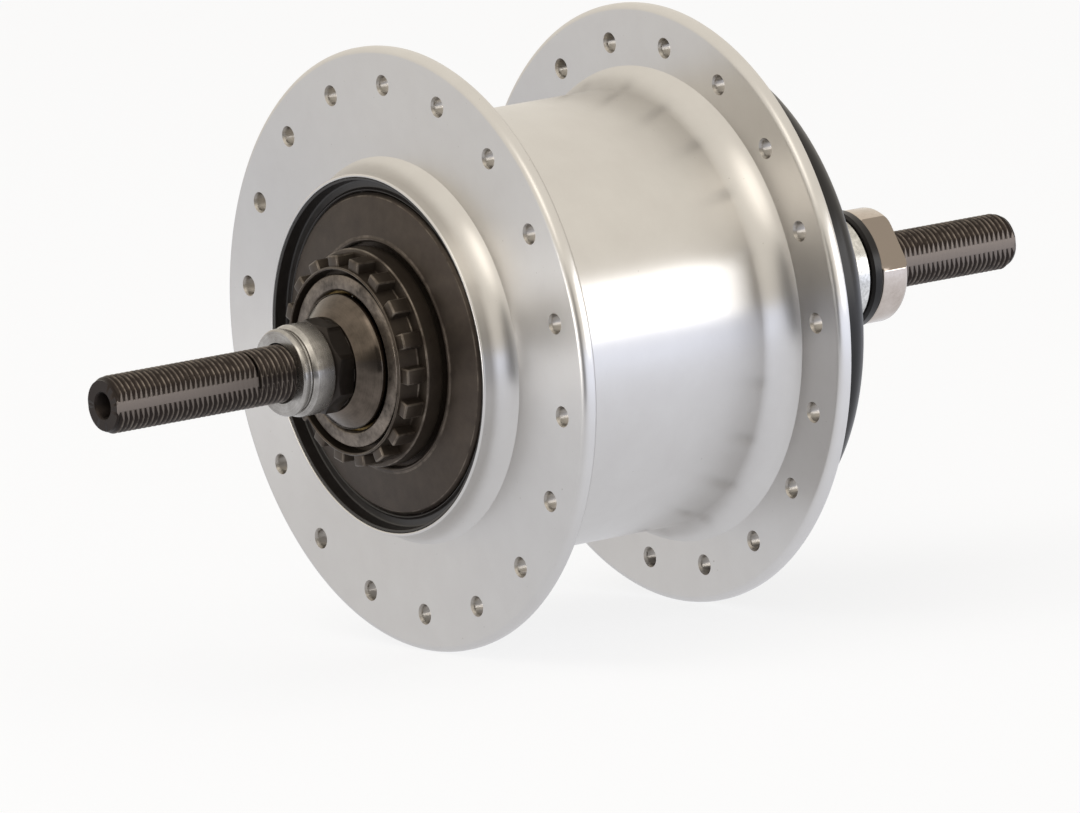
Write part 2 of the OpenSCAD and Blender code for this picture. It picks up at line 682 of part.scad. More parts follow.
// Black lip seal between the plate and the shell's lip.
module brake_seal() {
    r0 = plate_d / 2 + 0.05;
    r1 = lip_br - 0.05;
    f = wall_face + 1;
    color(black) turned([[r0, wall_face], [r0, f + 0.1], [r0 + 0.35, f + 0.5], [r0 + 0.75, f],
        [r1 - 0.8, f], [r1 - 0.5, f + 0.3], [r1 - 0.4, lip_face - 0.3], [r1 - 0.1, lip_face - 0.15],
        [r1, lip_face - 0.3], [r1, wall_face]]);
}

// Hardened cup of the brake-side bearing, in the brake ring's bore.
module left_cup() {
    lip = left_pr - left_race + 0.55;
    color(steel) turned(concat(
        [[lip, left_ball_y - 4.1], [lip, left_ball_y - left_race]],
        arc(left_pr, left_ball_y, left_race, -90, 0),
        [[left_pr + left_race, left_ball_y + 2.6], [cup_r, left_ball_y + 2.6], [cup_r, left_ball_y - 4.1]]));
}

// Greasy dust ring in front of the cup, round the shield's edge.
module left_dust_ring() {
    r0 = shield_d / 2 + 0.35;
    r1 = cup_r + 0.45;
    y = left_ball_y + 2.6;
    color("#6b655c") turned(concat([[r0, y + 0.5], [r0, y + 0.9], [r0 + 0.4, y + 1.3]],
        arc(r1 - 0.5, y + 0.8, 0.5, 90, 0, 4), [[r1, y], [left_pr + left_race, y]]));
}

// Steel track in the barrel for the roller clutch.
module clutch_race() {
    r1 = shell_br - seat;
    color(steel) turned([[r1 - 2, race_back], [r1, race_back], [r1, bore_end - 0.05],
        [r1 - 2, bore_end - 0.05]]);
}

// Large cup screwed into the drive side, which runs on balls round the driver.
module right_cup() {
    r1 = shell_br - seat;
    flange_r = (shell_br + spigot_r) / 2 - 0.15;
    y = hub_ball_y;
    face = far_face - spigot_len;
    color(steel) turned(concat(
        [[hub_pr - 1.3, y + right_race + 2.1], [hub_pr + 4, y + right_race + 1.2],
        [r1 - 4, y + right_race + 1.2], [r1 - 3, far_face + 2], [r1, far_face + 2], [r1, face],
        [flange_r, face], [flange_r, face - 1.3], [hub_pr + right_race + 1.1, face - 1.3],
        [hub_pr + right_race, y]],
        arc(hub_pr, y, right_race, 0, 90), [[hub_pr - 1.3, y + right_race]]));
}

// Black pressed cap over the cup: a straight skirt that grips the shell's spigot, and a flat face.
module right_cap() {
    r = cap_d / 2;
    w = cap_wall;
    hole = seat_d / 2 + 0.9;
    y = far_face - 0.05;
    f = cap_face;
    color(black) turned([
        [r - w, y], [r, y], [r, f + 4], [r - 0.45, f + 2.7], [r - 1.5, f + 1.45], [r - 2.9, f + 0.7],
        [r - 4.6, f + 0.25], [r - 7.4, f + 0.1], [hole + 6, f + 0.05], [hole + 0.4, f],
        [hole, f + 0.4], [hole, f + w], [r - 7.8, f + w + 0.1], [r - 5.2, f + w + 0.25],
        [r - 3.6, f + w + 0.75], [r - w - 0.9, f + w + 1.5], [r - w - 0.2, f + w + 2.4],
        [r - w, f + w + 3.3]]);
}

// Driver and what turns with it ---------------------------------------------------

// Sprocket seat with three notches and a snap ring groove, inner ball race, and the ratchet.
module driver() {
    r = seat_d / 2;
    y = hub_ball_y;
    ratchet_end = hub_end + pawl_w + 3;
    color(steel) on_axle() difference() {
        rotate_extrude($fn = 96) polygon(concat(
            [[cone_pr + right_race + 0.84 + seat, driver_end], [r - 0.4, driver_end], [r, driver_end + 0.4],
            [r, groove_in - 1.1], [r - 0.9, groove_in - 1.1], [r - 0.9, groove_in], [r, groove_in],
            [r, shoulder_out - 0.4], [r - 0.2, shoulder_out - 0.4], [r - 0.2, shoulder_out],
            [r + 2.1, shoulder_out], [r + 2.1, shoulder_in], [r + 0.5, shoulder_in],
            [r + 0.5, y - 3.1], [hub_pr, y - 3.1]],
            arc(hub_pr, y, right_race, 270, 180),
            [[hub_pr - right_race, y + 3], [r + 0.2, y + 4], [r + 0.2, ratchet_end],
            [drive_ratchet_in + ratchet_h + 0.8, ratchet_end],
            [drive_ratchet_in + ratchet_h + 0.8, ratchet_end - 1],
            [drive_ratchet_in - 0.05, ratchet_end - 1], [drive_ratchet_in - 0.05, hub_end - 0.8],
            [cone_pr + 1.2, hub_end - 1.6], [cone_pr + 1.2, cone_ball_y + 5.5],
            [cone_pr + right_race + 0.84 + seat, cone_ball_y + 5.5]]));
        ratchet_space(drive_ratchet_n, drive_ratchet_in, drive_pivot, drive_pawl_len, drive_up, 0,
            hub_end + 0.4, ratchet_end + 1);
        for (k = [0:2])
            rotate(120 * k + 90) translate([r - notch_h, -notch_w / 2, driver_end - 1])
                cube([5, notch_w, shoulder_out - driver_end + 1]);
    }
}

module driver_cup() {
    r1 = cone_pr + right_race + 0.84;
    y = cone_ball_y;
    lip = cone_pr - right_race + 0.55;
    color(steel) turned(concat([[lip, y + 5.4], [r1, y + 5.4], [r1, y - 4], [r1 - 0.6, y - 4]],
        arc(cone_pr, y, right_race, 0, 90), [[lip, y + right_race]]));
}

// Dust cap in the driver's open end, with a small gap round the plain sleeve.
module driver_cap() {
    r1 = cone_pr + right_race + 0.84;
    hole = sleeve_d / 2 + 0.45;
    color("#3a3938") turned([[hole, driver_end - 0.4], [r1 - 0.3, driver_end - 0.4], [r1, driver_end],
        [r1, driver_end + 2.2], [r1 - 0.7, driver_end + 2.2], [r1 - 0.7, driver_end + 0.6],
        [hole, driver_end + 0.6]]);
}

// Planet carrier --------------------------------------------------------------------

// Two plates joined by pillars, a boss for the ring gear, and a hub with three pawl pockets.
module carrier() {
    boss_r = 18.8;
    pillar = [gear_m * 21, 3];
    color("#8d8b88") on_axle() difference() {
        union() {
            difference() {
                round_bar(pair_r + 4.4, plate_out, plate_in);
                for (k = [0:3]) rotate(90 * k + 22.5)
                    translate([pair_r + 6.4, 0, plate_out - 1]) cylinder(r = 4, h = 6, $fn = 48);
            }
            round_bar(pair_r + 4.4, step1_top + 0.5, step1_top + 3);
            round_bar(boss_r, step1_top + 3, web_back + web_t - 0.2);
            for (k = [0:3]) rotate(90 * k + 45) translate([pillar[0], 0, plate_in])
                cylinder(r = pillar[1], h = step1_top + 0.5 - plate_in, $fn = 48);
            round_bar(hub_r, hub_end, plate_out);
        }
        round_bar(tube_r1 + run, hub_end - 1, plate_in + 1);
        round_bar(gear_m * sun1_z / 2 + tooth_add + 0.4, step1_top, web_back + web_t + 1);
        for (k = [0:3]) rotate(90 * k) translate([pair_r, 0, plate_out - 1])
            cylinder(d = pin_d + 2 * seat, h = step1_top + 6 - plate_out, $fn = 48);
        for (k = [0:2])
            rotate(120 * k)
                pawl_pocket(drive_pivot, drive_journal, drive_pawl_len, drive_down, drive_pawl_y);
        wire_groove(drive_pivot, drive_journal, hub_r, drive_pawl_y + pawl_w + 0.45);
    }
}

module carrier_spring() {
    color(steel) on_axle()
        wire_ring(drive_pivot + drive_journal + wire_r + 0.03, drive_pawl_y + pawl_w + 0.45);
}

module planet_pin(turn) {
    color(steel) on_axle() rotate(turn) translate([pair_r, 0, plate_out + 0.2])
        cylinder(d = pin_d, h = step1_top + 2.8 - plate_out, $fn = 48);
}

module drive_pawl(turn) {
    color(steel) on_axle() rotate(turn)
        pawl(drive_pivot, drive_journal, drive_pawl_len, drive_up, drive_pawl_y);
}

// A planet: three steps of teeth in one piece, each with a space toward its sun gear.
module planet(turn) {
    color("#a39a88") on_axle() rotate(turn) translate([pair_r, 0, 0]) difference() {
        union() {
            gear(pair_z - sun1_z, step1_top - face1 + run, step1_top - run, true);
            gear(pair_z - sun2_z, step2_top - face2 + run, step2_top - run, true);
            gear(pair_z - sun3_z, step3_end + run, step3_top - run, true);
            round_bar(gear_m * (pair_z - sun3_z) / 2 - tooth_ded - 0.1, step3_end + run, step1_top - 0.5);
        }
        round_bar(pin_d / 2 + 0.06, step3_end - 1, step1_top + 1);
    }
}

// Ring gear and roller clutch ---------------------------------------------------------

// Inside teeth, a drum, a web that turns on the carrier's boss, and six dogs for the cam.
module ring_gear() {
    teeth_end = step1_top - face1;
    bore = gear_m * ring_z / 2 + tooth_ded;
    color(brass) on_axle() difference() {
        union() {
            round_bar(ring_or, teeth_end, web_back + web_t);
            for (k = [0:5]) rotate(60 * k) translate([0, 0, web_back + web_t - 0.1])
                rotate_extrude(angle = 24, $fn = 96) translate([19.4, 0]) square([3.6, 2.1]);
        }
        translate([0, 0, teeth_end - 1]) rotate(180 / ring_z) linear_extrude(step1_top - teeth_end + 1.4)
            polygon(gear_outline(ring_z, bore, gear_m * ring_z / 2 - tooth_add, -flank_play));
        round_bar(bore + 0.3, step1_top, web_back);
        round_bar(18.8 + run, web_back - 1, web_back + 6);
    }
}

// Cam of the roller clutch: one flat for each roller, and notches for the ring gear's dogs.
module roller_cam() {
    roller_cr = shell_br - seat - 2 - roller_d / 2 - race;
    flat_r = (roller_cr - 0.1) * cos(4) - roller_d / 2;
    color(steel) on_axle() difference() {
        translate([0, 0, cam_back]) rotate(180 / roller_n)
            linear_extrude(roller_len + 1.2)
                polygon([for (k = [0:roller_n - 1]) polar(flat_r / cos(180 / roller_n), 360 * k / roller_n)]);
        round_bar(17, cam_back - 1, bore_end + 2);
        for (k = [0:5]) rotate(60 * k - 0.5) translate([0, 0, cam_back - 1])
            rotate_extrude(angle = 25, $fn = 96) translate([19.2, 0]) square([4, 3]);
    }
}

module rollers() {
    roller_cr = shell_br - seat - 2 - roller_d / 2 - race;
    color(steel) on_axle() for (k = [0:roller_n - 1])
        rotate(360 * k / roller_n - 4) translate([roller_cr, 0, race_back + 0.4])
            cylinder(d = roller_d, h = roller_len, $fn = 48);
}

// Cage that keeps the rollers evenly spaced.
module roller_cage() {
    roller_cr = shell_br - seat - 2 - roller_d / 2 - race;
    color("#7c6f4f") on_axle() difference() {
        round_bar(roller_cr + 1.5, race_back + 0.1, bore_end + 0.3);
        round_bar(roller_cr - 0.35, race_back - 1, bore_end + 2);
        for (k = [0:roller_n - 1])
            rotate(360 * k / roller_n - 4) translate([roller_cr, 0, race_back + 0.3])
                cylinder(r = roller_d / 2 + 0.1, h = roller_len + 0.2, $fn = 48);
    }
}

axle();
left_cone();
left_shield();
left_locknut();
stop_nut();
thrust_washer();
right_cone();
right_spacer();
right_locknut();
return_spring();
sun_small();
pawl_springs();
shift_sleeve();
shift_ring();
hub_shell();
brake_plate();
brake_ring();
brake_seal();
left_cup();
left_dust_ring();
clutch_race();
right_cup();
right_cap();
driver();
driver_cup();
driver_cap();
carrier();
carrier_spring();
planet_pin(0);  // planet_pin_1
planet_pin(90);  // planet_pin_2
planet_pin(180);  // planet_pin_3
planet_pin(270);  // planet_pin_4
drive_pawl(0);  // drive_pawl_1
drive_pawl(120);  // drive_pawl_2
drive_pawl(240);  // drive_pawl_3
planet(0);  // planet_1
planet(90);  // planet_2
planet(180);  // planet_3
planet(270);  // planet_4
ring_gear();
roller_cam();
rollers();
roller_cage();
sun_middle();
sun_large();
sun_pawl(collar_top, sun_up, 0);  // small_pawl_1
sun_pawl(collar_top, sun_up, 180);  // small_pawl_2
sun_pawl(step2_top, sun_down, 0);  // middle_pawl_1
sun_pawl(step2_top, sun_down, 180);  // middle_pawl_2
sun_pawl(step3_top, sun_down, 0);  // large_pawl_1
sun_pawl(step3_top, sun_down, 180);  // large_pawl_2
color(zinc) balls(left_ball_n, left_pr, left_br, left_ball_y);  // left_balls
color(brass) retainer(left_ball_n, left_pr, left_br, left_ball_y, 1);  // left_retainer
color(zinc) balls(cone_ball_n, cone_pr, right_br, cone_ball_y);  // cone_balls
color(brass) retainer(cone_ball_n, cone_pr, right_br, cone_ball_y, -1);  // cone_retainer
color(zinc) balls(hub_ball_n, hub_pr, right_br, hub_ball_y);  // hub_balls
color(brass) retainer(hub_ball_n, hub_pr, right_br, hub_ball_y, -1);  // hub_retainer
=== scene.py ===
# Internal gear hub for a bicycle's rear wheel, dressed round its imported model.
# Metres; brake side toward +Y, drive side toward -Y, +Z up. Sizes are written in millimetres.
from math import cos, hypot, pi, radians, sin

import bmesh
import bpy
from mathutils import Matrix, Vector


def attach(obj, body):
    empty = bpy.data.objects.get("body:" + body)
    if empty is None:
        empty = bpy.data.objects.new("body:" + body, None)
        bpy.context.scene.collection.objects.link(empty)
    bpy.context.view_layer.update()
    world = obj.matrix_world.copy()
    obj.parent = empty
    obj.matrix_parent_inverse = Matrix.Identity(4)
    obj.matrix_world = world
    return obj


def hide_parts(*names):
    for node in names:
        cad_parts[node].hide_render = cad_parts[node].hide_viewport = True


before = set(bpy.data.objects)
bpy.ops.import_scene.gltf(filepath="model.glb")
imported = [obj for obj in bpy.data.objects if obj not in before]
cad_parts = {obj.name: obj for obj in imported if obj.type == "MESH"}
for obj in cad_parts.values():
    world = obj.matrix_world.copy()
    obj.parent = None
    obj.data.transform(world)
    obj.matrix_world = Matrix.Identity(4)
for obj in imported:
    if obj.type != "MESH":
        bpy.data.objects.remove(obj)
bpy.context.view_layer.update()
MM = 0.001

# Camera at the photograph's viewing angle: a long lens from the brake side, a little behind
# and above.

PHOTO_WIDTH = 1080
FOCAL_LENGTH = 16312.6  # in pixels of the photograph
EYE = Vector((-2.160804, 1.535356, 0.391206))
RIGHT = Vector((-0.58578869, -0.80668611, -0.0781609))
UP = Vector((0.07719382, -0.15153551, 0.98543295))
BACK = Vector((-0.80677923, 0.57122194, 0.15103897))

camera_data = bpy.data.cameras.new("camera")
camera_data.sensor_width = 36
camera_data.lens = FOCAL_LENGTH / PHOTO_WIDTH * camera_data.sensor_width
camera_data.clip_start, camera_data.clip_end = 0.1, 30
camera = bpy.data.objects.new("camera", camera_data)
bpy.context.scene.collection.objects.link(camera)
camera.matrix_world = (Matrix.Translation(EYE)
                       @ Matrix((RIGHT, UP, BACK)).transposed().to_4x4())
bpy.context.scene.camera = camera

# Axle. One steel bar with a 26-per-inch thread rolled on both ends and two flats milled across
# them, then blackened. The crests are painted a lighter grey-brown, part rubbed wear and part a
# painted highlight, and the roots stay black.

AXLE_END = 91.5
THREAD_R = 4.75
THREAD_ROOT = 4.17
THREAD_PITCH = 0.977
THREAD_STEPS = 64
CREST_ROUND = 0.03
FLAT_HALF = 4.1
FLAT_START = 63.5
RIGHT_FLAT_START = -64.9
LEFT_THREAD_START = 49.0
RIGHT_THREAD_START = -62.0
END_CHAMFER = 1.2
END_R = 4.15
BORE_R = 2.0
BORE_CHAMFER = 0.35
BORE_DEPTH = 14.0
DRILL_POINT = 1.0
DRILL_TIP_R = 0.02
BLOTCH = 1.11


def srgb(code):
    """The linear colour that an sRGB hex value stands for."""
    parts = [int(code[i:i + 2], 16) / 255 for i in (1, 3, 5)]
    return (*(c / 12.92 if c <= 0.04045 else ((c + 0.055) / 1.055) ** 2.4 for c in parts), 1)


def add(material, kind, sockets=None, **options):
    """One shader node: options are its settings, sockets its values and links."""
    made = material.node_tree.nodes.new("ShaderNode" + kind)
    for name, value in options.items():
        setattr(made, name, value)
    for name, value in (sockets or {}).items():
        if isinstance(value, bpy.types.NodeSocket):
            material.node_tree.links.new(value, made.inputs[name])
        else:
            made.inputs[name].default_value = value
    return made


def blank(name):
    """A material with no nodes yet."""
    material = bpy.data.materials.new(name)
    material.use_nodes = True
    material.node_tree.nodes.clear()
    return material


def piece(bm, name, material, body, slot, *nodes, crease=32):
    """Makes the finished mesh an object that rides on its body and stands for its nodes."""
    mesh = bpy.data.meshes.new(name)
    bmesh.ops.scale(bm, vec=(MM, MM, MM), verts=bm.verts)
    for face in bm.faces:
        face.smooth = True
    bm.to_mesh(mesh)
    bm.free()
    mesh.set_sharp_from_angle(angle=radians(crease))
    mesh.materials.append(material)
    made = bpy.data.objects.new(name, mesh)
    bpy.context.scene.collection.objects.link(made)
    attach(made, body)
    if nodes:
        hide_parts(*nodes)
    return made


def cut(bm, where, normal, cap=True):
    """Takes away what lies beyond a plane and closes the cut."""
    got = bmesh.ops.bisect_plane(bm, geom=bm.verts[:] + bm.edges[:] + bm.faces[:],
                                 plane_co=where, plane_no=normal, clear_outer=True, dist=1e-6)
    rim = [e for e in got["geom_cut"] if isinstance(e, bmesh.types.BMEdge) and e.is_boundary]
    if cap and rim:
        bmesh.ops.holes_fill(bm, edges=rim, sides=0)
    return rim


def thread(low, high):
    """A screw thread along Y that reaches past both planes, open at both ends."""
    bm = bmesh.new()
    turns = int((high - low) / THREAD_PITCH) + 3
    start = low - 1.5 * THREAD_PITCH
    shoulder = THREAD_R - CREST_ROUND
    # Each point of the groove: its radius, and its share of the pitch.
    points = [(THREAD_ROOT, 0), (THREAD_ROOT, 0.12), (shoulder, 0.43), (THREAD_R, 0.5),
              (shoulder, 0.57), (THREAD_ROOT, 0.88), (THREAD_ROOT, 1)]
    verts = [bm.verts.new((r, start + share * THREAD_PITCH, 0)) for r, share in points]
    edges = [bm.edges.new(pair) for pair in zip(verts, verts[1:])]
    bmesh.ops.spin(bm, geom=verts + edges, cent=(0, 0, 0), axis=(0, 1, 0),
                   dvec=(0, THREAD_PITCH / THREAD_STEPS, 0), angle=2 * pi, steps=THREAD_STEPS)
    one = bm.verts[:] + bm.edges[:] + bm.faces[:]
    for turn in range(1, turns):
        copy = bmesh.ops.duplicate(bm, geom=one)["geom"]
        bmesh.ops.translate(bm, vec=(0, turn * THREAD_PITCH, 0),
                            verts=[v for v in copy if isinstance(v, bmesh.types.BMVert)])
    bmesh.ops.remove_doubles(bm, verts=bm.verts, dist=1e-3)
    bmesh.ops.recalc_face_normals(bm, faces=bm.faces)
    return bm


def chamfer(bm, end, way):
    """Draws the thread in to a cone over the axle's last stretch."""
    for v in bm.verts:
        r = hypot(v.co.x, v.co.z)
        most = END_R + max(0, (end - v.co.y) * way) * (THREAD_R - END_R) / END_CHAMFER
        if r > most:
            v.co.x, v.co.z = v.co.x * most / r, v.co.z * most / r


def joined(bms):
    """One mesh from several closed shells."""
    whole = bmesh.new()
    for bm in bms:
        shell = bpy.data.meshes.new("shell")
        bm.to_mesh(shell)
        whole.from_mesh(shell)
        bm.free()
        bpy.data.meshes.remove(shell)
    return whole


def threaded_end(start, flat_start, end, with_bore):
    """One end of the axle: a round stretch, and a stretch with two flats."""
    way = 1 if end > start else -1
    shells = []
    for first, last, flats in ((start, flat_start, False), (flat_start, end, True)):
        low, high = min(first, last), max(first, last)
        bm = thread(low, high)
        if flats:
            chamfer(bm, end, way)
        cut(bm, (0, low, 0), (0, -1, 0))
        rim = cut(bm, (0, high, 0), (0, 1, 0), cap=not (flats and with_bore))
        if flats and with_bore:
            mouth = bmesh.ops.create_circle(
                bm, segments=48, radius=BORE_R + BORE_CHAMFER,
                matrix=Matrix.Translation((0, end, 0)) @ Matrix.Rotation(pi / 2, 4, "X"))
            ring = list({e for v in mouth["verts"] for e in v.link_edges})
            bmesh.ops.bridge_loops(bm, edges=rim + ring)
            for radius, depth in ((BORE_R, BORE_CHAMFER), (BORE_R, BORE_DEPTH),
                                  (DRILL_TIP_R, BORE_DEPTH + DRILL_POINT)):
                grown = bmesh.ops.extrude_edge_only(bm, edges=ring)["geom"]
                ring = [e for e in grown if isinstance(e, bmesh.types.BMEdge) and e.is_boundary]
                for v in {v for e in ring for v in e.verts}:
                    r = hypot(v.co.x, v.co.z)
                    v.co = (v.co.x * radius / r, end - depth, v.co.z * radius / r)
            bmesh.ops.holes_fill(bm, edges=ring, sides=0)
        if flats:
            for side in (-1, 1):
                cut(bm, (side * FLAT_HALF, 0, 0), (side, 0, 0))
        bmesh.ops.recalc_face_normals(bm, faces=bm.faces)
        bmesh.ops.triangulate(bm, faces=[f for f in bm.faces if len(f.verts) > 4])
        shells.append(bm)
    return shells


def copied(node):
    """A welded copy of a node's mesh, in millimetres."""
    bm = bmesh.new()
    bm.from_mesh(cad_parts[node].data)
    bmesh.ops.scale(bm, vec=(1 / MM, 1 / MM, 1 / MM), verts=bm.verts)
    bmesh.ops.remove_doubles(bm, verts=bm.verts, dist=1e-3)
    return bm


def from_axis(material, place):
    """The distance from the hub's axis at each point."""
    flat = add(material, "VectorMath", {0: place, 1: (1, 0, 1)}, operation="MULTIPLY").outputs[0]
    return add(material, "VectorMath", {0: flat}, operation="LENGTH").outputs["Value"]


middle = copied("axle")
cut(middle, (0, LEFT_THREAD_START, 0), (0, 1, 0))
cut(middle, (0, RIGHT_THREAD_START, 0), (0, -1, 0))
axle_mesh = joined([middle] + threaded_end(LEFT_THREAD_START, FLAT_START, AXLE_END, True)
                   + threaded_end(RIGHT_THREAD_START, RIGHT_FLAT_START, -AXLE_END, False))

axle_finish = blank("blackened rolled thread")
place = add(axle_finish, "TexCoord").outputs["Object"]
crest_wear_and_highlight = add(axle_finish, "MapRange", {"Value": from_axis(axle_finish, place),
                                      "From Min": (THREAD_R - 0.25) * MM,
                                      "From Max": (THREAD_R + 0.01) * MM}).outputs[0]
# Oil and wear leave blotches of about a millimetre in the crests' wear and painted highlight.
grain = add(axle_finish, "TexNoise", {"Vector": place, "Scale": 1 / (BLOTCH * MM),
                                      "Detail": 4.0}).outputs[0]
blotch = add(axle_finish, "MapRange", {"Value": grain, "From Min": 0.3, "From Max": 0.6}).outputs[0]
worn = add(axle_finish, "Math", {0: crest_wear_and_highlight, 1: blotch}, operation="MULTIPLY").outputs[0]
thread_black = add(axle_finish, "Mix", {0: worn, 6: srgb("#2e2825"), 7: srgb("#7d746c")},
                   data_type="RGBA").outputs[2]
# The milled flats took the blacking thinly and look grey.
across = add(axle_finish, "SeparateXYZ", {0: place}).outputs["X"]
aside = add(axle_finish, "Math", {0: across}, operation="ABSOLUTE").outputs[0]
milled = add(axle_finish, "Math", {0: aside, 1: FLAT_HALF * MM, 2: 0.00002},
             operation="COMPARE").outputs[0]
colour = add(axle_finish, "Mix", {0: milled, 6: thread_black, 7: srgb("#6c645e")},
             data_type="RGBA").outputs[2]
rough = add(axle_finish, "MapRange", {"Value": worn, "To Min": 0.42, "To Max": 0.28}).outputs[0]
shader = add(axle_finish, "BsdfPrincipled", {"Base Color": colour, "Metallic": 0.9,
                                             "Roughness": rough})
add(axle_finish, "OutputMaterial", {"Surface": shader.outputs[0]})
piece(axle_mesh, "threaded_axle", axle_finish, "axle_set", "axle_steel", "axle")

# Gears, carrier, clutch and driver. Hardened steel, hobbed or turned and then ground, which
# leaves a soft grey shine with fine rings and a film of oil.

CLOUD = 3.5


def lathe_rings(material, place):
    """Coordinates that stay the same all round a ring, so that a pattern becomes lathe rings."""
    along = add(material, "SeparateXYZ", {0: place}).outputs["Y"]
    return add(material, "CombineXYZ", {"X": from_axis(material, place), "Y": along}).outputs[0]


def round_axle(material, place):
    """The way that lathe rings run at each point, for a shine that stretches across them."""
    ring = add(material, "VectorMath", {0: (0, 1, 0), 1: place}, operation="CROSS_PRODUCT")
    return add(material, "VectorTransform", {0: ring.outputs[0]}, vector_type="VECTOR",
               convert_from="OBJECT", convert_to="WORLD").outputs[0]


def steel(name, light, dark, rough, rings=0.0, grit=0.12, bump=0.004, metallic=1.0, edge_shade=None):
    """Bare or plated steel: two tones that cloud into each other, grit, and lathe rings if turned.

    Sizes are in millimetres: rings is their spacing, grit the grain's size, bump its height.
    Faces that carry the attribute "edge" can take one more colour, painted on as shade."""
    made = blank(name)
    place = add(made, "TexCoord").outputs["Object"]
    marks = lathe_rings(made, place) if rings else place
    size = rings or grit
    fine = add(made, "TexNoise", {"Vector": marks, "Scale": 1 / (size * MM),
                                  "Detail": 3.0}).outputs[0]
    cloud = add(made, "TexNoise", {"Vector": place, "Scale": 1 / (CLOUD * MM), "Detail": 6.0,
                                   "Roughness": 0.65}).outputs[0]
    both = add(made, "Math", {0: fine, 1: 0.35, 2: cloud}, operation="MULTIPLY_ADD").outputs[0]
    share = add(made, "MapRange", {"Value": both, "From Min": 0.45, "From Max": 0.9}).outputs[0]
    colour = add(made, "Mix", {0: share, 6: srgb(dark), 7: srgb(light)},
                 data_type="RGBA").outputs[2]
    gloss = add(made, "MapRange", {"Value": both, "From Min": 0.45, "From Max": 0.9,
                                   "To Min": rough + 0.1, "To Max": rough - 0.05}).outputs[0]
    relief = add(made, "Bump", {"Height": fine, "Distance": bump * MM, "Strength": 0.6}).outputs[0]
    if edge_shade:
        edge = add(made, "Attribute", attribute_name="edge").outputs["Fac"]
        colour = add(made, "Mix", {0: edge, 6: colour, 7: srgb(edge_shade)},
                     data_type="RGBA").outputs[2]
    shader = add(made, "BsdfPrincipled", {"Base Color": colour, "Metallic": metallic,
                                          "Roughness": gloss, "Normal": relief})
    if rings:
        shader.inputs["Anisotropic"].default_value = 0.7
        shader.inputs["Anisotropic Rotation"].default_value = 0.25
        made.node_tree.links.new(round_axle(made, place), shader.inputs["Tangent"])
    add(made, "OutputMaterial", {"Surface": shader.outputs[0]})
    return made


def finish(material, *nodes):
    """Gives a material to nodes that keep their own mesh."""
    for node in nodes:
        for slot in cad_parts[node].material_slots:
            slot.material = material


# Hobbed teeth: grey and even, with a grain fine enough to look satin.
gear_steel = steel("hobbed hardened gear steel", "#a9a6a1", "#7c7976", 0.34, grit=0.1)
finish(gear_steel, "sun_small", "sun_middle", "sun_large", "ring_gear",
       "planet_1", "planet_2", "planet_3", "planet_4")
# Turned and ground faces: the same steel, brighter, with fine rings round the axle.
turned_steel = steel("turned hardened steel", "#b5b2ad", "#8a8783", 0.3, rings=0.12)
finish(turned_steel, "thrust_washer", "right_spacer", "clutch_race", "roller_cam", "carrier",
       "shift_sleeve", "driver", "driver_cup", "left_cup")
# Pressed and tumbled pawls: darker, with a coarser grain from tumbling.
pawl_steel = steel("tumbled pawl steel", "#8d8984", "#5f5b57", 0.4, grit=0.25, bump=0.01)
finish(pawl_steel, "drive_pawl_1", "drive_pawl_2", "drive_pawl_3", "small_pawl_1", "small_pawl_2",
       "middle_pawl_1", "middle_pawl_2", "large_pawl_1", "large_pawl_2")
# Ground pins and rollers: close to a mirror.
pin_steel = steel("ground pin steel", "#c9c8c6", "#a5a4a2", 0.2, grit=0.05, bump=0.001)
finish(pin_steel, "planet_pin_1", "planet_pin_2", "planet_pin_3", "planet_pin_4", "rollers")

# Springs. Two wire rings hold the pawls out and a coil turns the shift sleeve back. Their
# carbon-steel wire is drawn, which leaves fine lines, and blued by its heat treatment.

spring_steel = steel("blued spring wire", "#6f7079", "#43434b", 0.35, grit=0.06)
finish(spring_steel, "pawl_springs", "carrier_spring", "return_spring")

# Bearings. Polished chrome-steel balls in pressed brass retainers, and the clutch's brass cage:
# the balls mirror what is round them, the brass is warm and a little dull from the press.

ball_steel = steel("polished ball steel", "#dcdcdd", "#c6c6c8", 0.08, grit=0.4, bump=0.0003)
finish(ball_steel, "left_balls", "cone_balls", "hub_balls")
pressed_brass = steel("greasy pressed brass", "#8d7648", "#55472b", 0.36, grit=0.2)
finish(pressed_brass, "left_retainer", "cone_retainer", "hub_retainer", "roller_cage")

# Stop nut and drive-side cup. Bright zinc plate on steel: a cool silver, slightly cloudy, with
# small spangles where the plating grew unevenly.

zinc_plate = steel("bright zinc plate", "#d9d9d8", "#aeb0b2", 0.24, grit=0.35, bump=0.003)
finish(zinc_plate, "stop_nut", "right_cup")

# Hub shell. One aluminium casting: the flanges, lip and barrel are turned bright, the spoke holes
# are drilled and countersunk, and a clear coat keeps the silver from dulling.

SHELL_STEPS = 192
FLANGE_R = 50
FLANGE_ROUND = 1.1
NEAR_FACE = 31.75
NEAR_BACK = 28.95
FAR_FACE = -19.75
FAR_BACK = -22.55
BARREL_R = 36.5
BARREL_BORE = 33.5
LIP_R = 29.9
LIP_BORE = 29.3
LIP_FRONT = 37.2
SPIGOT_R = 39.78
SPIGOT_END = -27.05
SEAT_R = 17.22
SEAT_BACK = 30.3
SEAT_FRONT = 33.8
SPOKE_R = 43.75
SPOKE_HOLES = 18
HOLE_R = 1.45
SINK_R = 1.75
SINK_DEPTH = 0.5
RING_SPACING = 0.303
CAST_CLOUD = 6.25
SPECK = 0.667


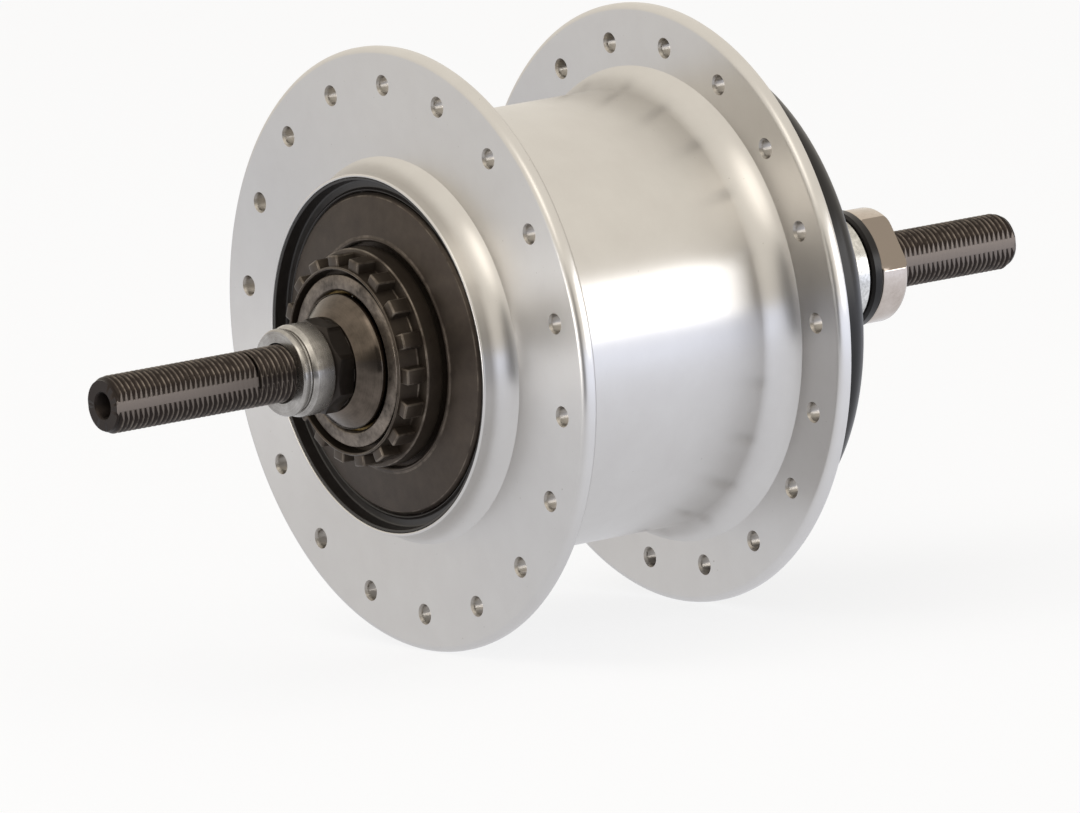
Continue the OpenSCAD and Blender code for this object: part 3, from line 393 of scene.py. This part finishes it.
def turned(outline, steps=128):
    """A ring turned on a lathe from a closed outline of [radius, place along the axle, fillet].

    Corners with a fillet are rounded, and their faces carry the attribute "edge"."""
    bm = bmesh.new()
    edge = bm.faces.layers.float.new("edge")
    verts = [bm.verts.new((p[0], p[1], 0)) for p in outline]
    for a, b in zip(verts, verts[1:] + verts[:1]):
        bm.edges.new((a, b))
    rounded = []
    for vert, point in zip(verts, outline):
        if len(point) > 2:
            got = bmesh.ops.bevel(bm, geom=[vert], offset=point[2],
                                  segments=max(4, round(3 * point[2])), profile=0.5,
                                  material=-1, affect="VERTICES", offset_type="OFFSET")
            points = [v.co.copy() for v in got["verts"]]
            rounded.append((sum(points, Vector()) / len(points),
                            max((a - b).length for a in points for b in points) / 2 + 1e-4))
    bmesh.ops.spin(bm, geom=bm.verts[:] + bm.edges[:], cent=(0, 0, 0), axis=(0, 1, 0),
                   dvec=(0, 0, 0), angle=2 * pi, steps=steps, use_merge=True)
    bmesh.ops.recalc_face_normals(bm, faces=bm.faces)
    for face in bm.faces:
        corners = [Vector((hypot(v.co.x, v.co.z), v.co.y, 0)) for v in face.verts]
        if any(all((c - mid).length <= reach for c in corners) for mid, reach in rounded):
            face[edge] = 1.0
    return bm


def bored(bm, cutters):
    """Takes closed cutter shapes out of a mesh."""
    made = []
    for shape in (bm, cutters):
        mesh = bpy.data.meshes.new("blank")
        shape.to_mesh(mesh)
        shape.free()
        made.append(bpy.data.objects.new("blank", mesh))
        bpy.context.scene.collection.objects.link(made[-1])
    drill = made[0].modifiers.new("drill", "BOOLEAN")
    drill.operation, drill.solver, drill.object = "DIFFERENCE", "EXACT", made[1]
    ready = made[0].evaluated_get(bpy.context.evaluated_depsgraph_get())
    result = bmesh.new()
    result.from_mesh(ready.to_mesh())
    ready.to_mesh_clear()
    for blank_object in made:
        mesh = blank_object.data
        bpy.data.objects.remove(blank_object)
        bpy.data.meshes.remove(mesh)
    return result


shell_outline = [
    (SEAT_R, SEAT_BACK), (SEAT_R, SEAT_FRONT), (LIP_BORE, SEAT_FRONT),
    (LIP_BORE, LIP_FRONT - 0.3), (LIP_BORE + 0.15, LIP_FRONT, 0.1), (LIP_R, LIP_FRONT, 0.3),
    (LIP_R, NEAR_FACE + 1.55, 2.2), (LIP_R + 2.1, NEAR_FACE),
    (FLANGE_R, NEAR_FACE, FLANGE_ROUND), (FLANGE_R, NEAR_BACK, FLANGE_ROUND),
    (BARREL_R, NEAR_BACK, 2), (BARREL_R, FAR_FACE + 2, 3.6), (BARREL_R + 3.2, FAR_FACE),
    (FLANGE_R, FAR_FACE, FLANGE_ROUND), (FLANGE_R, FAR_BACK, FLANGE_ROUND),
    (SPIGOT_R, FAR_BACK), (SPIGOT_R, SPIGOT_END, 0.6), (BARREL_BORE, SPIGOT_END),
    (BARREL_BORE, 27.2), (30.6, 29.7), (30, SEAT_BACK)]
# Half of a spoke hole: its straight stretch, and the countersink that the cutter runs out of.
half_flange = (NEAR_FACE - NEAR_BACK) / 2
half_hole = [(HOLE_R, half_flange - SINK_DEPTH, 0.2), (SINK_R, half_flange),
             (SINK_R + 0.4, half_flange + 0.5), (0.01, half_flange + 0.5)]
hole_outline = [(r, -y, *fillet) for r, y, *fillet in reversed(half_hole)] + half_hole
hole_step = 360 / SPOKE_HOLES
holes = []
for middle_y, first in (((NEAR_FACE + NEAR_BACK) / 2, hole_step / 2),
                        ((FAR_FACE + FAR_BACK) / 2, 0)):
    for k in range(SPOKE_HOLES):
        angle = radians(first + hole_step * k)
        spool = turned(hole_outline, steps=24)
        bmesh.ops.translate(spool, verts=spool.verts,
                            vec=(SPOKE_R * cos(angle), middle_y, -SPOKE_R * sin(angle)))
        holes.append(spool)
shell_mesh = bored(turned(shell_outline, SHELL_STEPS), joined(holes))
shell_mesh.normal_update()
drilled = shell_mesh.faces.layers.float.new("drilled")
for face in shell_mesh.faces:
    middle = face.calc_center_median()
    if abs(hypot(middle.x, middle.z) - SPOKE_R) < SINK_R + 0.45 and abs(face.normal.y) < 0.95:
        face[drilled] = 1.0

shell_finish = blank("clear-coated turned aluminium")
place = add(shell_finish, "TexCoord").outputs["Object"]
# Turning leaves rings about 0.3 mm apart, polished until they only blur the shine.
lathe = add(shell_finish, "TexNoise", {"Vector": lathe_rings(shell_finish, place),
                                       "Scale": 1 / (RING_SPACING * MM), "Detail": 3.0}).outputs[0]
# The casting's grain shows as soft clouds 6 mm wide, and as a few specks under the coat.
cloud = add(shell_finish, "TexNoise", {"Vector": place, "Scale": 1 / (CAST_CLOUD * MM),
                                       "Detail": 5.0, "Roughness": 0.6}).outputs[0]
speck = add(shell_finish, "TexNoise", {"Vector": place, "Scale": 1 / (SPECK * MM),
                                       "Detail": 2.0}).outputs[0]
dot = add(shell_finish, "MapRange", {"Value": speck, "From Min": 0.76, "From Max": 0.82}).outputs[0]
base = add(shell_finish, "Mix", {0: cloud, 6: srgb("#cac7c4"), 7: srgb("#d3d1ce")},
           data_type="RGBA").outputs[2]
skin = add(shell_finish, "Mix", {0: dot, 6: base, 7: srgb("#aaa69f")},
           data_type="RGBA").outputs[2]
# The drill leaves the holes duller than the turned faces, and they are painted darker as shade.
drilled_and_shaded = add(shell_finish, "Attribute", attribute_name="drilled").outputs["Fac"]
colour = add(shell_finish, "Mix", {0: drilled_and_shaded, 6: skin, 7: srgb("#b2ada6")},
             data_type="RGBA").outputs[2]
gloss = add(shell_finish, "MapRange", {"Value": lathe, "To Min": 0.26, "To Max": 0.33}).outputs[0]
rough = add(shell_finish, "Math", {0: drilled_and_shaded, 1: 0.12, 2: gloss},
            operation="MULTIPLY_ADD").outputs[0]
relief = add(shell_finish, "Bump", {"Height": lathe, "Distance": 0.0006 * MM,
                                    "Strength": 0.4}).outputs[0]
shader = add(shell_finish, "BsdfPrincipled", {
    "Base Color": colour, "Metallic": 1.0, "Roughness": rough, "Normal": relief,
    "Anisotropic": 0.8, "Anisotropic Rotation": 0.25, "Tangent": round_axle(shell_finish, place),
    "Coat Weight": 0.1, "Coat Roughness": 0.25})
add(shell_finish, "OutputMaterial", {"Surface": shader.outputs[0]})
shell = piece(shell_mesh, "hub_shell_turned", shell_finish, "shell_set", "shell_aluminium",
              "hub_shell", crease=30)
shell.modifiers.new("even shading", "WEIGHTED_NORMAL").keep_sharp = True

# Dust ring over the brake-side cup. A pressed steel ring, grey-brown under old grease that has
# dulled it in patches.

DUST_RING_R = 14.3
DUST_RING_BORE = 11.55
DUST_RING_BACK = 42.2
DUST_RING_FRONT = 43.5

dust_finish = steel("greasy pressed steel", "#857b71", "#38322d", 0.3, grit=0.7, bump=0.03,
                    metallic=0.85)
dust_ring = turned([
    (DUST_RING_BORE, 42.7), (DUST_RING_BORE, 43.1, 0.1), (11.95, DUST_RING_FRONT, 0.15),
    (DUST_RING_R, 43.3, 0.3), (DUST_RING_R, 42.8), (13.45, 42.6), (13.45, DUST_RING_BACK),
    (12.5, DUST_RING_BACK)])
piece(dust_ring, "greasy_dust_ring", dust_finish, "shell_set", "dust_ring_steel",
      "left_dust_ring")

# Plate and brake ring. Steel turned and milled, then phosphated brown-black and oiled; the ring's
# eighteen blocks and the plate's round lip have rubbed bright along their edges.

PLATE_R = 26.6
PLATE_LIP_FRONT = 36.6
RING_BORE = 13.04
RING_BACK = 30.5
RING_FRONT = 43.92
COLLAR_R = 18.1
COLLAR_BACK = 36.9
COLLAR_FRONT = 39.9
BLOCKS = 18
BLOCK_PHASE = 15.1
BLOCK_TIP = 17.4
BLOCK_ROOT = 15.2
BLOCK_W = 2.7
BLOCK_FRONT = 43.4
BLOCK_BACK = 39.7
CRYSTAL = 0.2
COAT_CLOUD = 2.86


def phosphated(name, light, dark, worn, rough):
    """Phosphate on steel: brown-black and fine-grained, rubbed through where faces are edges."""
    made = blank(name)
    place = add(made, "TexCoord").outputs["Object"]
    # Crystals of the coat are far finer; drawn 0.2 mm wide so that they show as a matt grain.
    grain = add(made, "TexNoise", {"Vector": place, "Scale": 1 / (CRYSTAL * MM),
                                   "Detail": 2.0}).outputs[0]
    cloud = add(made, "TexNoise", {"Vector": place, "Scale": 1 / (COAT_CLOUD * MM),
                                   "Detail": 5.0, "Roughness": 0.6}).outputs[0]
    base = add(made, "Mix", {0: cloud, 6: srgb(dark), 7: srgb(light)}, data_type="RGBA").outputs[2]
    rubbed = add(made, "Attribute", attribute_name="edge").outputs["Fac"]
    patchy = add(made, "MapRange", {"Value": cloud, "From Min": 0.4, "From Max": 0.7}).outputs[0]
    share = add(made, "Math", {0: rubbed, 1: patchy}, operation="MULTIPLY").outputs[0]
    colour = add(made, "Mix", {0: share, 6: base, 7: srgb(worn)}, data_type="RGBA").outputs[2]
    gloss = add(made, "MapRange", {"Value": grain, "To Min": rough - 0.08,
                                   "To Max": rough + 0.1}).outputs[0]
    relief = add(made, "Bump", {"Height": grain, "Distance": 0.01 * MM,
                                "Strength": 0.5}).outputs[0]
    shader = add(made, "BsdfPrincipled", {"Base Color": colour, "Metallic": 0.75,
                                          "Roughness": gloss, "Normal": relief})
    add(made, "OutputMaterial", {"Surface": shader.outputs[0]})
    return made


plate_finish = phosphated("phosphated plate steel", "#4d443c", "#332c27", "#6b6259", 0.4)
plate = turned([
    (SEAT_R, SEAT_FRONT), (SEAT_R, 35), (18.6, 35), (18.6, 36.35, 0.1),
    (19, PLATE_LIP_FRONT, 0.2), (19.5, 36.4, 0.2), (PLATE_R - 0.5, 35.72, 0.2),
    (PLATE_R, 35.2, 0.2), (PLATE_R, SEAT_FRONT)])
piece(plate, "dark_plate", plate_finish, "shell_set", "black_steel", "brake_plate")

ring_finish = phosphated("phosphated block steel", "#544b42", "#362f29", "#7d746a", 0.36)
blocks = [turned([
    (RING_BORE, RING_BACK), (RING_BORE, 41), (15.1, 41), (15.1, 43.75, 0.1),
    (15.35, RING_FRONT, 0.1), (15.6, 43.7, 0.1), (15.6, COLLAR_FRONT, 0.3),
    (COLLAR_R, COLLAR_FRONT, 0.35), (COLLAR_R, COLLAR_BACK, 0.2), (17.2, COLLAR_BACK),
    (17.2, RING_BACK)])]
for k in range(BLOCKS):
    block = bmesh.new()
    edge = block.faces.layers.float.new("edge")
    bmesh.ops.create_cube(block, size=1)
    bmesh.ops.scale(block, verts=block.verts,
                    vec=(BLOCK_TIP - BLOCK_ROOT, BLOCK_FRONT - BLOCK_BACK, BLOCK_W))
    bmesh.ops.translate(block, verts=block.verts,
                        vec=((BLOCK_TIP + BLOCK_ROOT) / 2, (BLOCK_FRONT + BLOCK_BACK) / 2, 0))
    shown = [e for e in block.edges
             if all(v.co.x > BLOCK_TIP - 0.1 or v.co.y > BLOCK_FRONT - 0.1 for v in e.verts)]
    rim = bmesh.ops.bevel(block, geom=shown, offset=0.3, segments=3, profile=0.5, material=-1,
                          affect="EDGES")
    for face in rim["faces"]:
        face[edge] = 1.0
    bmesh.ops.rotate(block, verts=block.verts, cent=(0, 0, 0),
                     matrix=Matrix.Rotation(radians(360 * k / BLOCKS + BLOCK_PHASE), 3, "Y"))
    blocks.append(block)
piece(joined(blocks), "block_ring", ring_finish, "shell_set", "black_steel", "brake_ring")

# Lip seal in the shell's mouth. A moulded black rubber ring with two soft ribs, which goes grey
# where it is dusty.

SEAL_R = 29.27
SEAL_BORE = 26.65
SEAL_FRONT = 37.05
DUST_CLOUD = 1.667

seal_finish = blank("moulded seal rubber")
place = add(seal_finish, "TexCoord").outputs["Object"]
dust = add(seal_finish, "TexNoise", {"Vector": place, "Scale": 1 / (DUST_CLOUD * MM),
                                     "Detail": 5.0}).outputs[0]
colour = add(seal_finish, "Mix", {0: dust, 6: srgb("#14110f"), 7: srgb("#262220")},
             data_type="RGBA").outputs[2]
rough = add(seal_finish, "MapRange", {"Value": dust, "To Min": 0.28, "To Max": 0.5}).outputs[0]
shader = add(seal_finish, "BsdfPrincipled", {"Base Color": colour, "Roughness": rough})
add(seal_finish, "OutputMaterial", {"Surface": shader.outputs[0]})
seal = turned([
    (SEAL_BORE, SEAT_FRONT), (SEAL_BORE, 34.9, 0.1), (27, 35.3, 0.12), (27.4, 34.8, 0.12),
    (28.7, 34.8, 0.3), (28.85, 36.95, 0.12), (SEAL_R, SEAL_FRONT, 0.1),
    (SEAL_R, SEAT_FRONT)], 160)
piece(seal, "lip_seal", seal_finish, "shell_set", "seal_rubber", "brake_seal")

# Brake-side cone. Turned steel with an eight-sided head for a spanner, blackened; its corners have
# rubbed a little lighter.

HEAD_SIDES = 8
HEAD_HALF = 7.3
HEAD_R = 7.95
HEAD_TURN = 12.5
HEAD_BACK = 46.9
HEAD_FRONT = 50.5
NUT_BORE = THREAD_R + 0.02

cone_finish = phosphated("blackened cone steel", "#3a3430", "#231f1c", "#6f675e", 0.36)
neck = copied("left_cone")
cut(neck, (0, HEAD_BACK, 0), (0, 1, 0))
head = turned([
    (NUT_BORE, HEAD_BACK), (HEAD_R, HEAD_BACK, 0.15), (HEAD_R, HEAD_FRONT - 1.1),
    (6.7, HEAD_FRONT, 0.25), (4.9, HEAD_FRONT, 0.1), (NUT_BORE, HEAD_FRONT - 0.3)], steps=96)
for side in range(HEAD_SIDES):
    angle = radians(360 / HEAD_SIDES * (side + 0.5) + HEAD_TURN)
    normal = Vector((cos(angle), 0, -sin(angle)))
    cut(head, normal * HEAD_HALF, normal)
piece(joined([neck, head]), "cone_head", cone_finish, "axle_set", "black_steel", "left_cone")

# Dust shield on the cone's neck. Sheet steel pressed to a shallow dish and polished, so that it
# mirrors the locknut and the dark parts round it.

SHIELD_R = 11.2
SHIELD_BORE = 7.42
SHIELD_BACK = 43
SHIELD_FRONT = 46.86

shield_finish = steel("polished shield steel", "#6b6158", "#4a433c", 0.14, rings=0.2,
                      bump=0.0006)
shield = turned([
    (SHIELD_BORE, 45.9), (SHIELD_BORE, SHIELD_FRONT), (7.9, SHIELD_FRONT, 0.1),
    (10.9, 44.35, 0.4), (SHIELD_R, 43.9, 0.12), (SHIELD_R, SHIELD_BACK), (10.6, SHIELD_BACK),
    (10.4, 43.7)])
piece(shield, "polished_shield", shield_finish, "axle_set", "polished_steel", "left_shield")

# Brake-side locknut. A round zinc-plated nut, turned with a groove behind its front ring; handling
# has dulled the plate to a satin silver.

LOCKNUT_R = 7.6
LOCKNUT_RING_R = 7.2
LOCKNUT_GROOVE_R = 6.75
LOCKNUT_FRONT = 56.6

satin_zinc = steel("satin zinc plate", "#b9b6b1", "#8a8682", 0.22, rings=0.3, bump=0.002)
locknut = turned([
    (NUT_BORE, HEAD_FRONT), (LOCKNUT_R - 0.3, HEAD_FRONT, 0.1),
    (LOCKNUT_R, HEAD_FRONT + 0.3, 0.1), (LOCKNUT_R, 54, 0.12), (7.1, 54.75, 0.08),
    (LOCKNUT_GROOVE_R, 54.8, 0.08), (LOCKNUT_GROOVE_R, 55.35, 0.08),
    (LOCKNUT_RING_R, 55.4, 0.08), (LOCKNUT_RING_R, 56.2, 0.1), (6.95, LOCKNUT_FRONT, 0.1),
    (NUT_BORE + 0.25, LOCKNUT_FRONT), (NUT_BORE, LOCKNUT_FRONT - 0.3)])
piece(locknut, "grooved_locknut", satin_zinc, "axle_set", "zinc_steel", "left_locknut")

# Black cap on the drive side. Injection-moulded plastic with a straight skirt and a flat face,
# slightly glossy, with the fine haze that handling leaves.

CAP_R = 41.4
CAP_BORE = 39.8
CAP_BACK = -22.6
CAP_FACE = -33.4
CAP_MOUTH_R = 18.3
CAP_INSIDE = -31.8
HAZE = 4.0

black_plastic = blank("moulded black plastic")
place = add(black_plastic, "TexCoord").outputs["Object"]
haze = add(black_plastic, "TexNoise", {"Vector": place, "Scale": 1 / (HAZE * MM),
                                       "Detail": 6.0}).outputs[0]
colour = add(black_plastic, "Mix", {0: haze, 6: srgb("#0f0d0d"), 7: srgb("#1a1716")},
             data_type="RGBA").outputs[2]
rough = add(black_plastic, "MapRange", {"Value": haze, "To Min": 0.24, "To Max": 0.4}).outputs[0]
shader = add(black_plastic, "BsdfPrincipled", {"Base Color": colour, "Roughness": rough,
                                               "Specular IOR Level": 0.3})
add(black_plastic, "OutputMaterial", {"Surface": shader.outputs[0]})
cap = turned([
    (CAP_BORE, CAP_BACK), (CAP_R, CAP_BACK, 0.15), (CAP_R, -30.2, 1), (CAP_R - 1.5, -32.6, 1.2),
    (34, -33.3, 1), (24.3, -33.35), (CAP_MOUTH_R + 0.4, CAP_FACE, 0.2),
    (CAP_MOUTH_R, CAP_FACE + 0.4, 0.15), (CAP_MOUTH_R, CAP_INSIDE), (34, -31.68, 1),
    (38.6, -31, 1), (CAP_BORE, -28.8, 1)], 160)
piece(cap, "moulded_cap", black_plastic, "shell_set", "black_plastic", "right_cap")

# Dust cap in the driver's mouth. Thin steel sheet, pressed to a shallow cup that snaps into the
# driver, and blackened against rust.

cap_steel = phosphated("blackened pressed steel", "#3b3733", "#26221f", "#6f675e", 0.38)
finish(cap_steel, "driver_cap")

# Drive-side cone's sleeve, shift ring and locknut. The sleeve is zinc plated and scratched by the
# cable unit that sits on it, the shift ring is black plastic, and the round locknut is nickel
# plated to a warm mirror.

sleeve_finish = steel("scratched zinc plate", "#e4e3df", "#8f8e8a", 0.22, grit=0.5, bump=0.008)
finish(sleeve_finish, "right_cone")
finish(black_plastic, "shift_ring")

NUT_TURN = 31.8
NUT_HALF = 8.25
NUT_R = 9.6
NUT_BACK = -59.5
NUT_FRONT = -64.9

nickel = steel("nickel plate", "#c3b9b0", "#b0a59b", 0.12, grit=0.6, bump=0.0004,
               edge_shade="#8d837a")
nut = turned([(NUT_BORE, NUT_BACK), (NUT_R, NUT_BACK, 0.4), (NUT_R, NUT_FRONT, 0.9),
              (NUT_BORE + 0.3, NUT_FRONT), (NUT_BORE, NUT_FRONT + 0.3)])
angle = radians(NUT_TURN)
across = Vector((cos(angle), 0, -sin(angle)))
for way in (-1, 1):
    cut(nut, across * NUT_HALF * way, across * way)
# The two spanner flats carry "edge" and are painted darker, a painted reflection of dark
# surroundings.
nut.normal_update()
edge = nut.faces.layers.float["edge"]
for face in nut.faces:
    face[edge] = float(abs(face.normal.dot(across)) > 0.99)
piece(nut, "round_locknut", nickel, "axle_set", "chrome", "right_locknut")

# Floor, light and background. The hub stands on a white sheet in a pale studio tent. A long low
# softbox on the left draws the bright band along the barrel, and the tent is open in front, where
# bright metal mirrors the dark room behind the camera.

FLOOR_Z = -50.05
FLOOR_R = 6
TO_ROOM = (-0.64, 0.77, 0)
TO_STRIP = (-0.78, -0.63, 0)
TO_TENT_LAMP = (-0.41, 0.57, 0.71)
WHITE = (1, 1, 1, 1)


def room_share(material, way):
    """How much of the dark room a direction meets, from none to nine tenths."""
    aim = add(material, "VectorMath", {0: way, 1: TO_ROOM}, operation="DOT_PRODUCT")
    return add(material, "MapRange", {"Value": aim.outputs["Value"], "From Min": 0.92,
                                      "From Max": 0.96, "To Max": 0.9}).outputs[0]


def by_ray(material, plain, mirrored, seen):
    """Soft light meets the first shader, metal's and glass's rays the next, the camera the last."""
    path = add(material, "LightPath")
    shiny = add(material, "Math", {0: path.outputs["Is Glossy Ray"],
                                   1: path.outputs["Is Transmission Ray"]}, operation="MAXIMUM")
    indoors = add(material, "MixShader", {0: shiny.outputs[0], 1: plain.outputs[0],
                                          2: mirrored.outputs[0]})
    return add(material, "MixShader", {0: path.outputs["Is Camera Ray"], 1: indoors.outputs[0],
                                       2: seen.outputs[0]}).outputs[0]


bm = bmesh.new()
bmesh.ops.create_circle(bm, cap_ends=True, segments=96, radius=FLOOR_R,
                        matrix=Matrix.Translation((0, 0, FLOOR_Z * MM)))
floor_mesh = bpy.data.meshes.new("floor")
bm.to_mesh(floor_mesh)
bm.free()
floor_paper = blank("white paper sheet")
ground = add(floor_paper, "TexCoord").outputs["Object"]
# The camera sees the sheet as white and bright metal mirrors it a shade bluer; a part of what
# they see is the lit paper itself, so the hub's shadow stays.
paper = add(floor_paper, "BsdfDiffuse", {"Color": srgb("#eceef3")})
glow = add(floor_paper, "Emission", {"Color": WHITE, "Strength": 1.06})
white = add(floor_paper, "MixShader", {0: 0.75, 1: paper.outputs[0], 2: glow.outputs[0]})
# Mirrored, the sheet is painted brighter and cooler towards the long strip: a painted pool of its
# light.
toward = add(floor_paper, "VectorMath", {0: ground, 1: TO_STRIP}, operation="DOT_PRODUCT")
near_strip = add(floor_paper, "MapRange", {"Value": toward.outputs["Value"],
                                           "From Max": 0.25}).outputs[0]
painted_pool_glow = add(floor_paper, "MapRange", {"Value": near_strip, "To Min": 0.95, "To Max": 1.6})
painted_pool_tint = add(floor_paper, "Mix", {0: near_strip, 6: srgb("#eff0f4"), 7: srgb("#e9eefc")},
           data_type="RGBA").outputs[2]
# The sheet ends two hands' breadths in front of the hub, and the dark room begins.
reach = add(floor_paper, "VectorMath", {0: ground}, operation="LENGTH").outputs["Value"]
past_edge = add(floor_paper, "MapRange", {"Value": reach, "From Min": 0.2, "From Max": 0.24})
way = add(floor_paper, "VectorMath", {0: ground}, operation="NORMALIZE").outputs["Vector"]
dark = add(floor_paper, "Math", {0: room_share(floor_paper, way), 1: past_edge.outputs[0]},
           operation="MULTIPLY")
sheet = add(floor_paper, "Math", {0: 1.0, 1: dark.outputs[0]}, operation="SUBTRACT")
strength = add(floor_paper, "Math", {0: painted_pool_glow.outputs[0], 1: sheet.outputs[0]},
               operation="MULTIPLY").outputs[0]
sheen = add(floor_paper, "Emission", {"Color": painted_pool_tint, "Strength": strength})
mirrored = add(floor_paper, "MixShader", {0: 0.95, 1: paper.outputs[0], 2: sheen.outputs[0]})
add(floor_paper, "OutputMaterial", {"Surface": by_ray(floor_paper, paper, mirrored, white)})
floor_mesh.materials.append(floor_paper)
floor = bpy.data.objects.new("floor", floor_mesh)
bpy.context.scene.collection.objects.link(floor)

world = bpy.data.worlds.new("studio tent")
bpy.context.scene.world = world
world.use_nodes = True
world.node_tree.nodes.clear()
# The tent is a warm white, a little brighter overhead than at the horizon.
way = add(world, "TexCoord").outputs["Generated"]
height = add(world, "SeparateXYZ", {0: way}).outputs["Z"]
rise = add(world, "MapRange", {"Value": height, "From Min": -0.1, "From Max": 0.6}).outputs[0]
cloth = add(world, "Mix", {0: rise, 6: srgb("#f2ece2"), 7: srgb("#fff9ee")},
            data_type="RGBA").outputs[2]
# The opening reaches from the floor to about 20 degrees above it.
under = add(world, "MapRange", {"Value": height, "From Min": 0.4, "From Max": 0.3}).outputs[0]
dark = add(world, "Math", {0: room_share(world, way), 1: under}, operation="MULTIPLY")
tent_light = add(world, "Math", {0: 1.06, 1: dark.outputs[0]}, operation="SUBTRACT")
# A lamp shines through the cloth above the opening.
above = add(world, "VectorMath", {0: way, 1: TO_TENT_LAMP}, operation="DOT_PRODUCT")
lamp_glow = add(world, "MapRange", {"Value": above.outputs["Value"], "From Min": 0.93,
                                    "From Max": 0.99, "To Max": 1.2})
strength = add(world, "Math", {0: tent_light.outputs[0], 1: lamp_glow.outputs[0]},
               operation="ADD").outputs[0]
plain = add(world, "Background", {"Color": cloth, "Strength": 0.6})
mirrored = add(world, "Background", {"Color": cloth, "Strength": strength})
white = add(world, "Background", {"Color": WHITE, "Strength": 1.0})
add(world, "OutputWorld", {"Surface": by_ray(world, plain, mirrored, white)})


def softbox(name, azimuth, height, distance, width, tall, power, colour, mirrored=True):
    """A rectangular lamp that faces the hub from a direction, in degrees and metres."""
    lamp = bpy.data.lights.new(name, "AREA")
    lamp.shape, lamp.size, lamp.size_y = "RECTANGLE", width, tall
    lamp.energy, lamp.color = power, srgb(colour)[:3]
    made = bpy.data.objects.new(name, lamp)
    a, h = radians(azimuth), radians(height)
    back = Vector((cos(a) * cos(h), sin(a) * cos(h), sin(h)))
    made.matrix_world = (Matrix.Translation(back * distance)
                         @ back.to_track_quat("Z", "Y").to_matrix().to_4x4())
    made.visible_camera = False
    made.visible_glossy = mirrored
    bpy.context.scene.collection.objects.link(made)


softbox("barrel strip", -137, 8, 1.6, 0.95, 0.7, 6.5, "#fbfcff")
softbox("camera-side strip", 143, 9, 3.2, 2.0, 1.2, 18, "#fffdfa", mirrored=False)
softbox("white card", 75, -4, 0.36, 0.18, 0.06, 0.14, "#fffdfa")
softbox("top softbox", 60, 62, 1.8, 1.4, 1.4, 9, "#fffaf3", mirrored=False)

bpy.context.scene.view_settings.view_transform = "Standard"
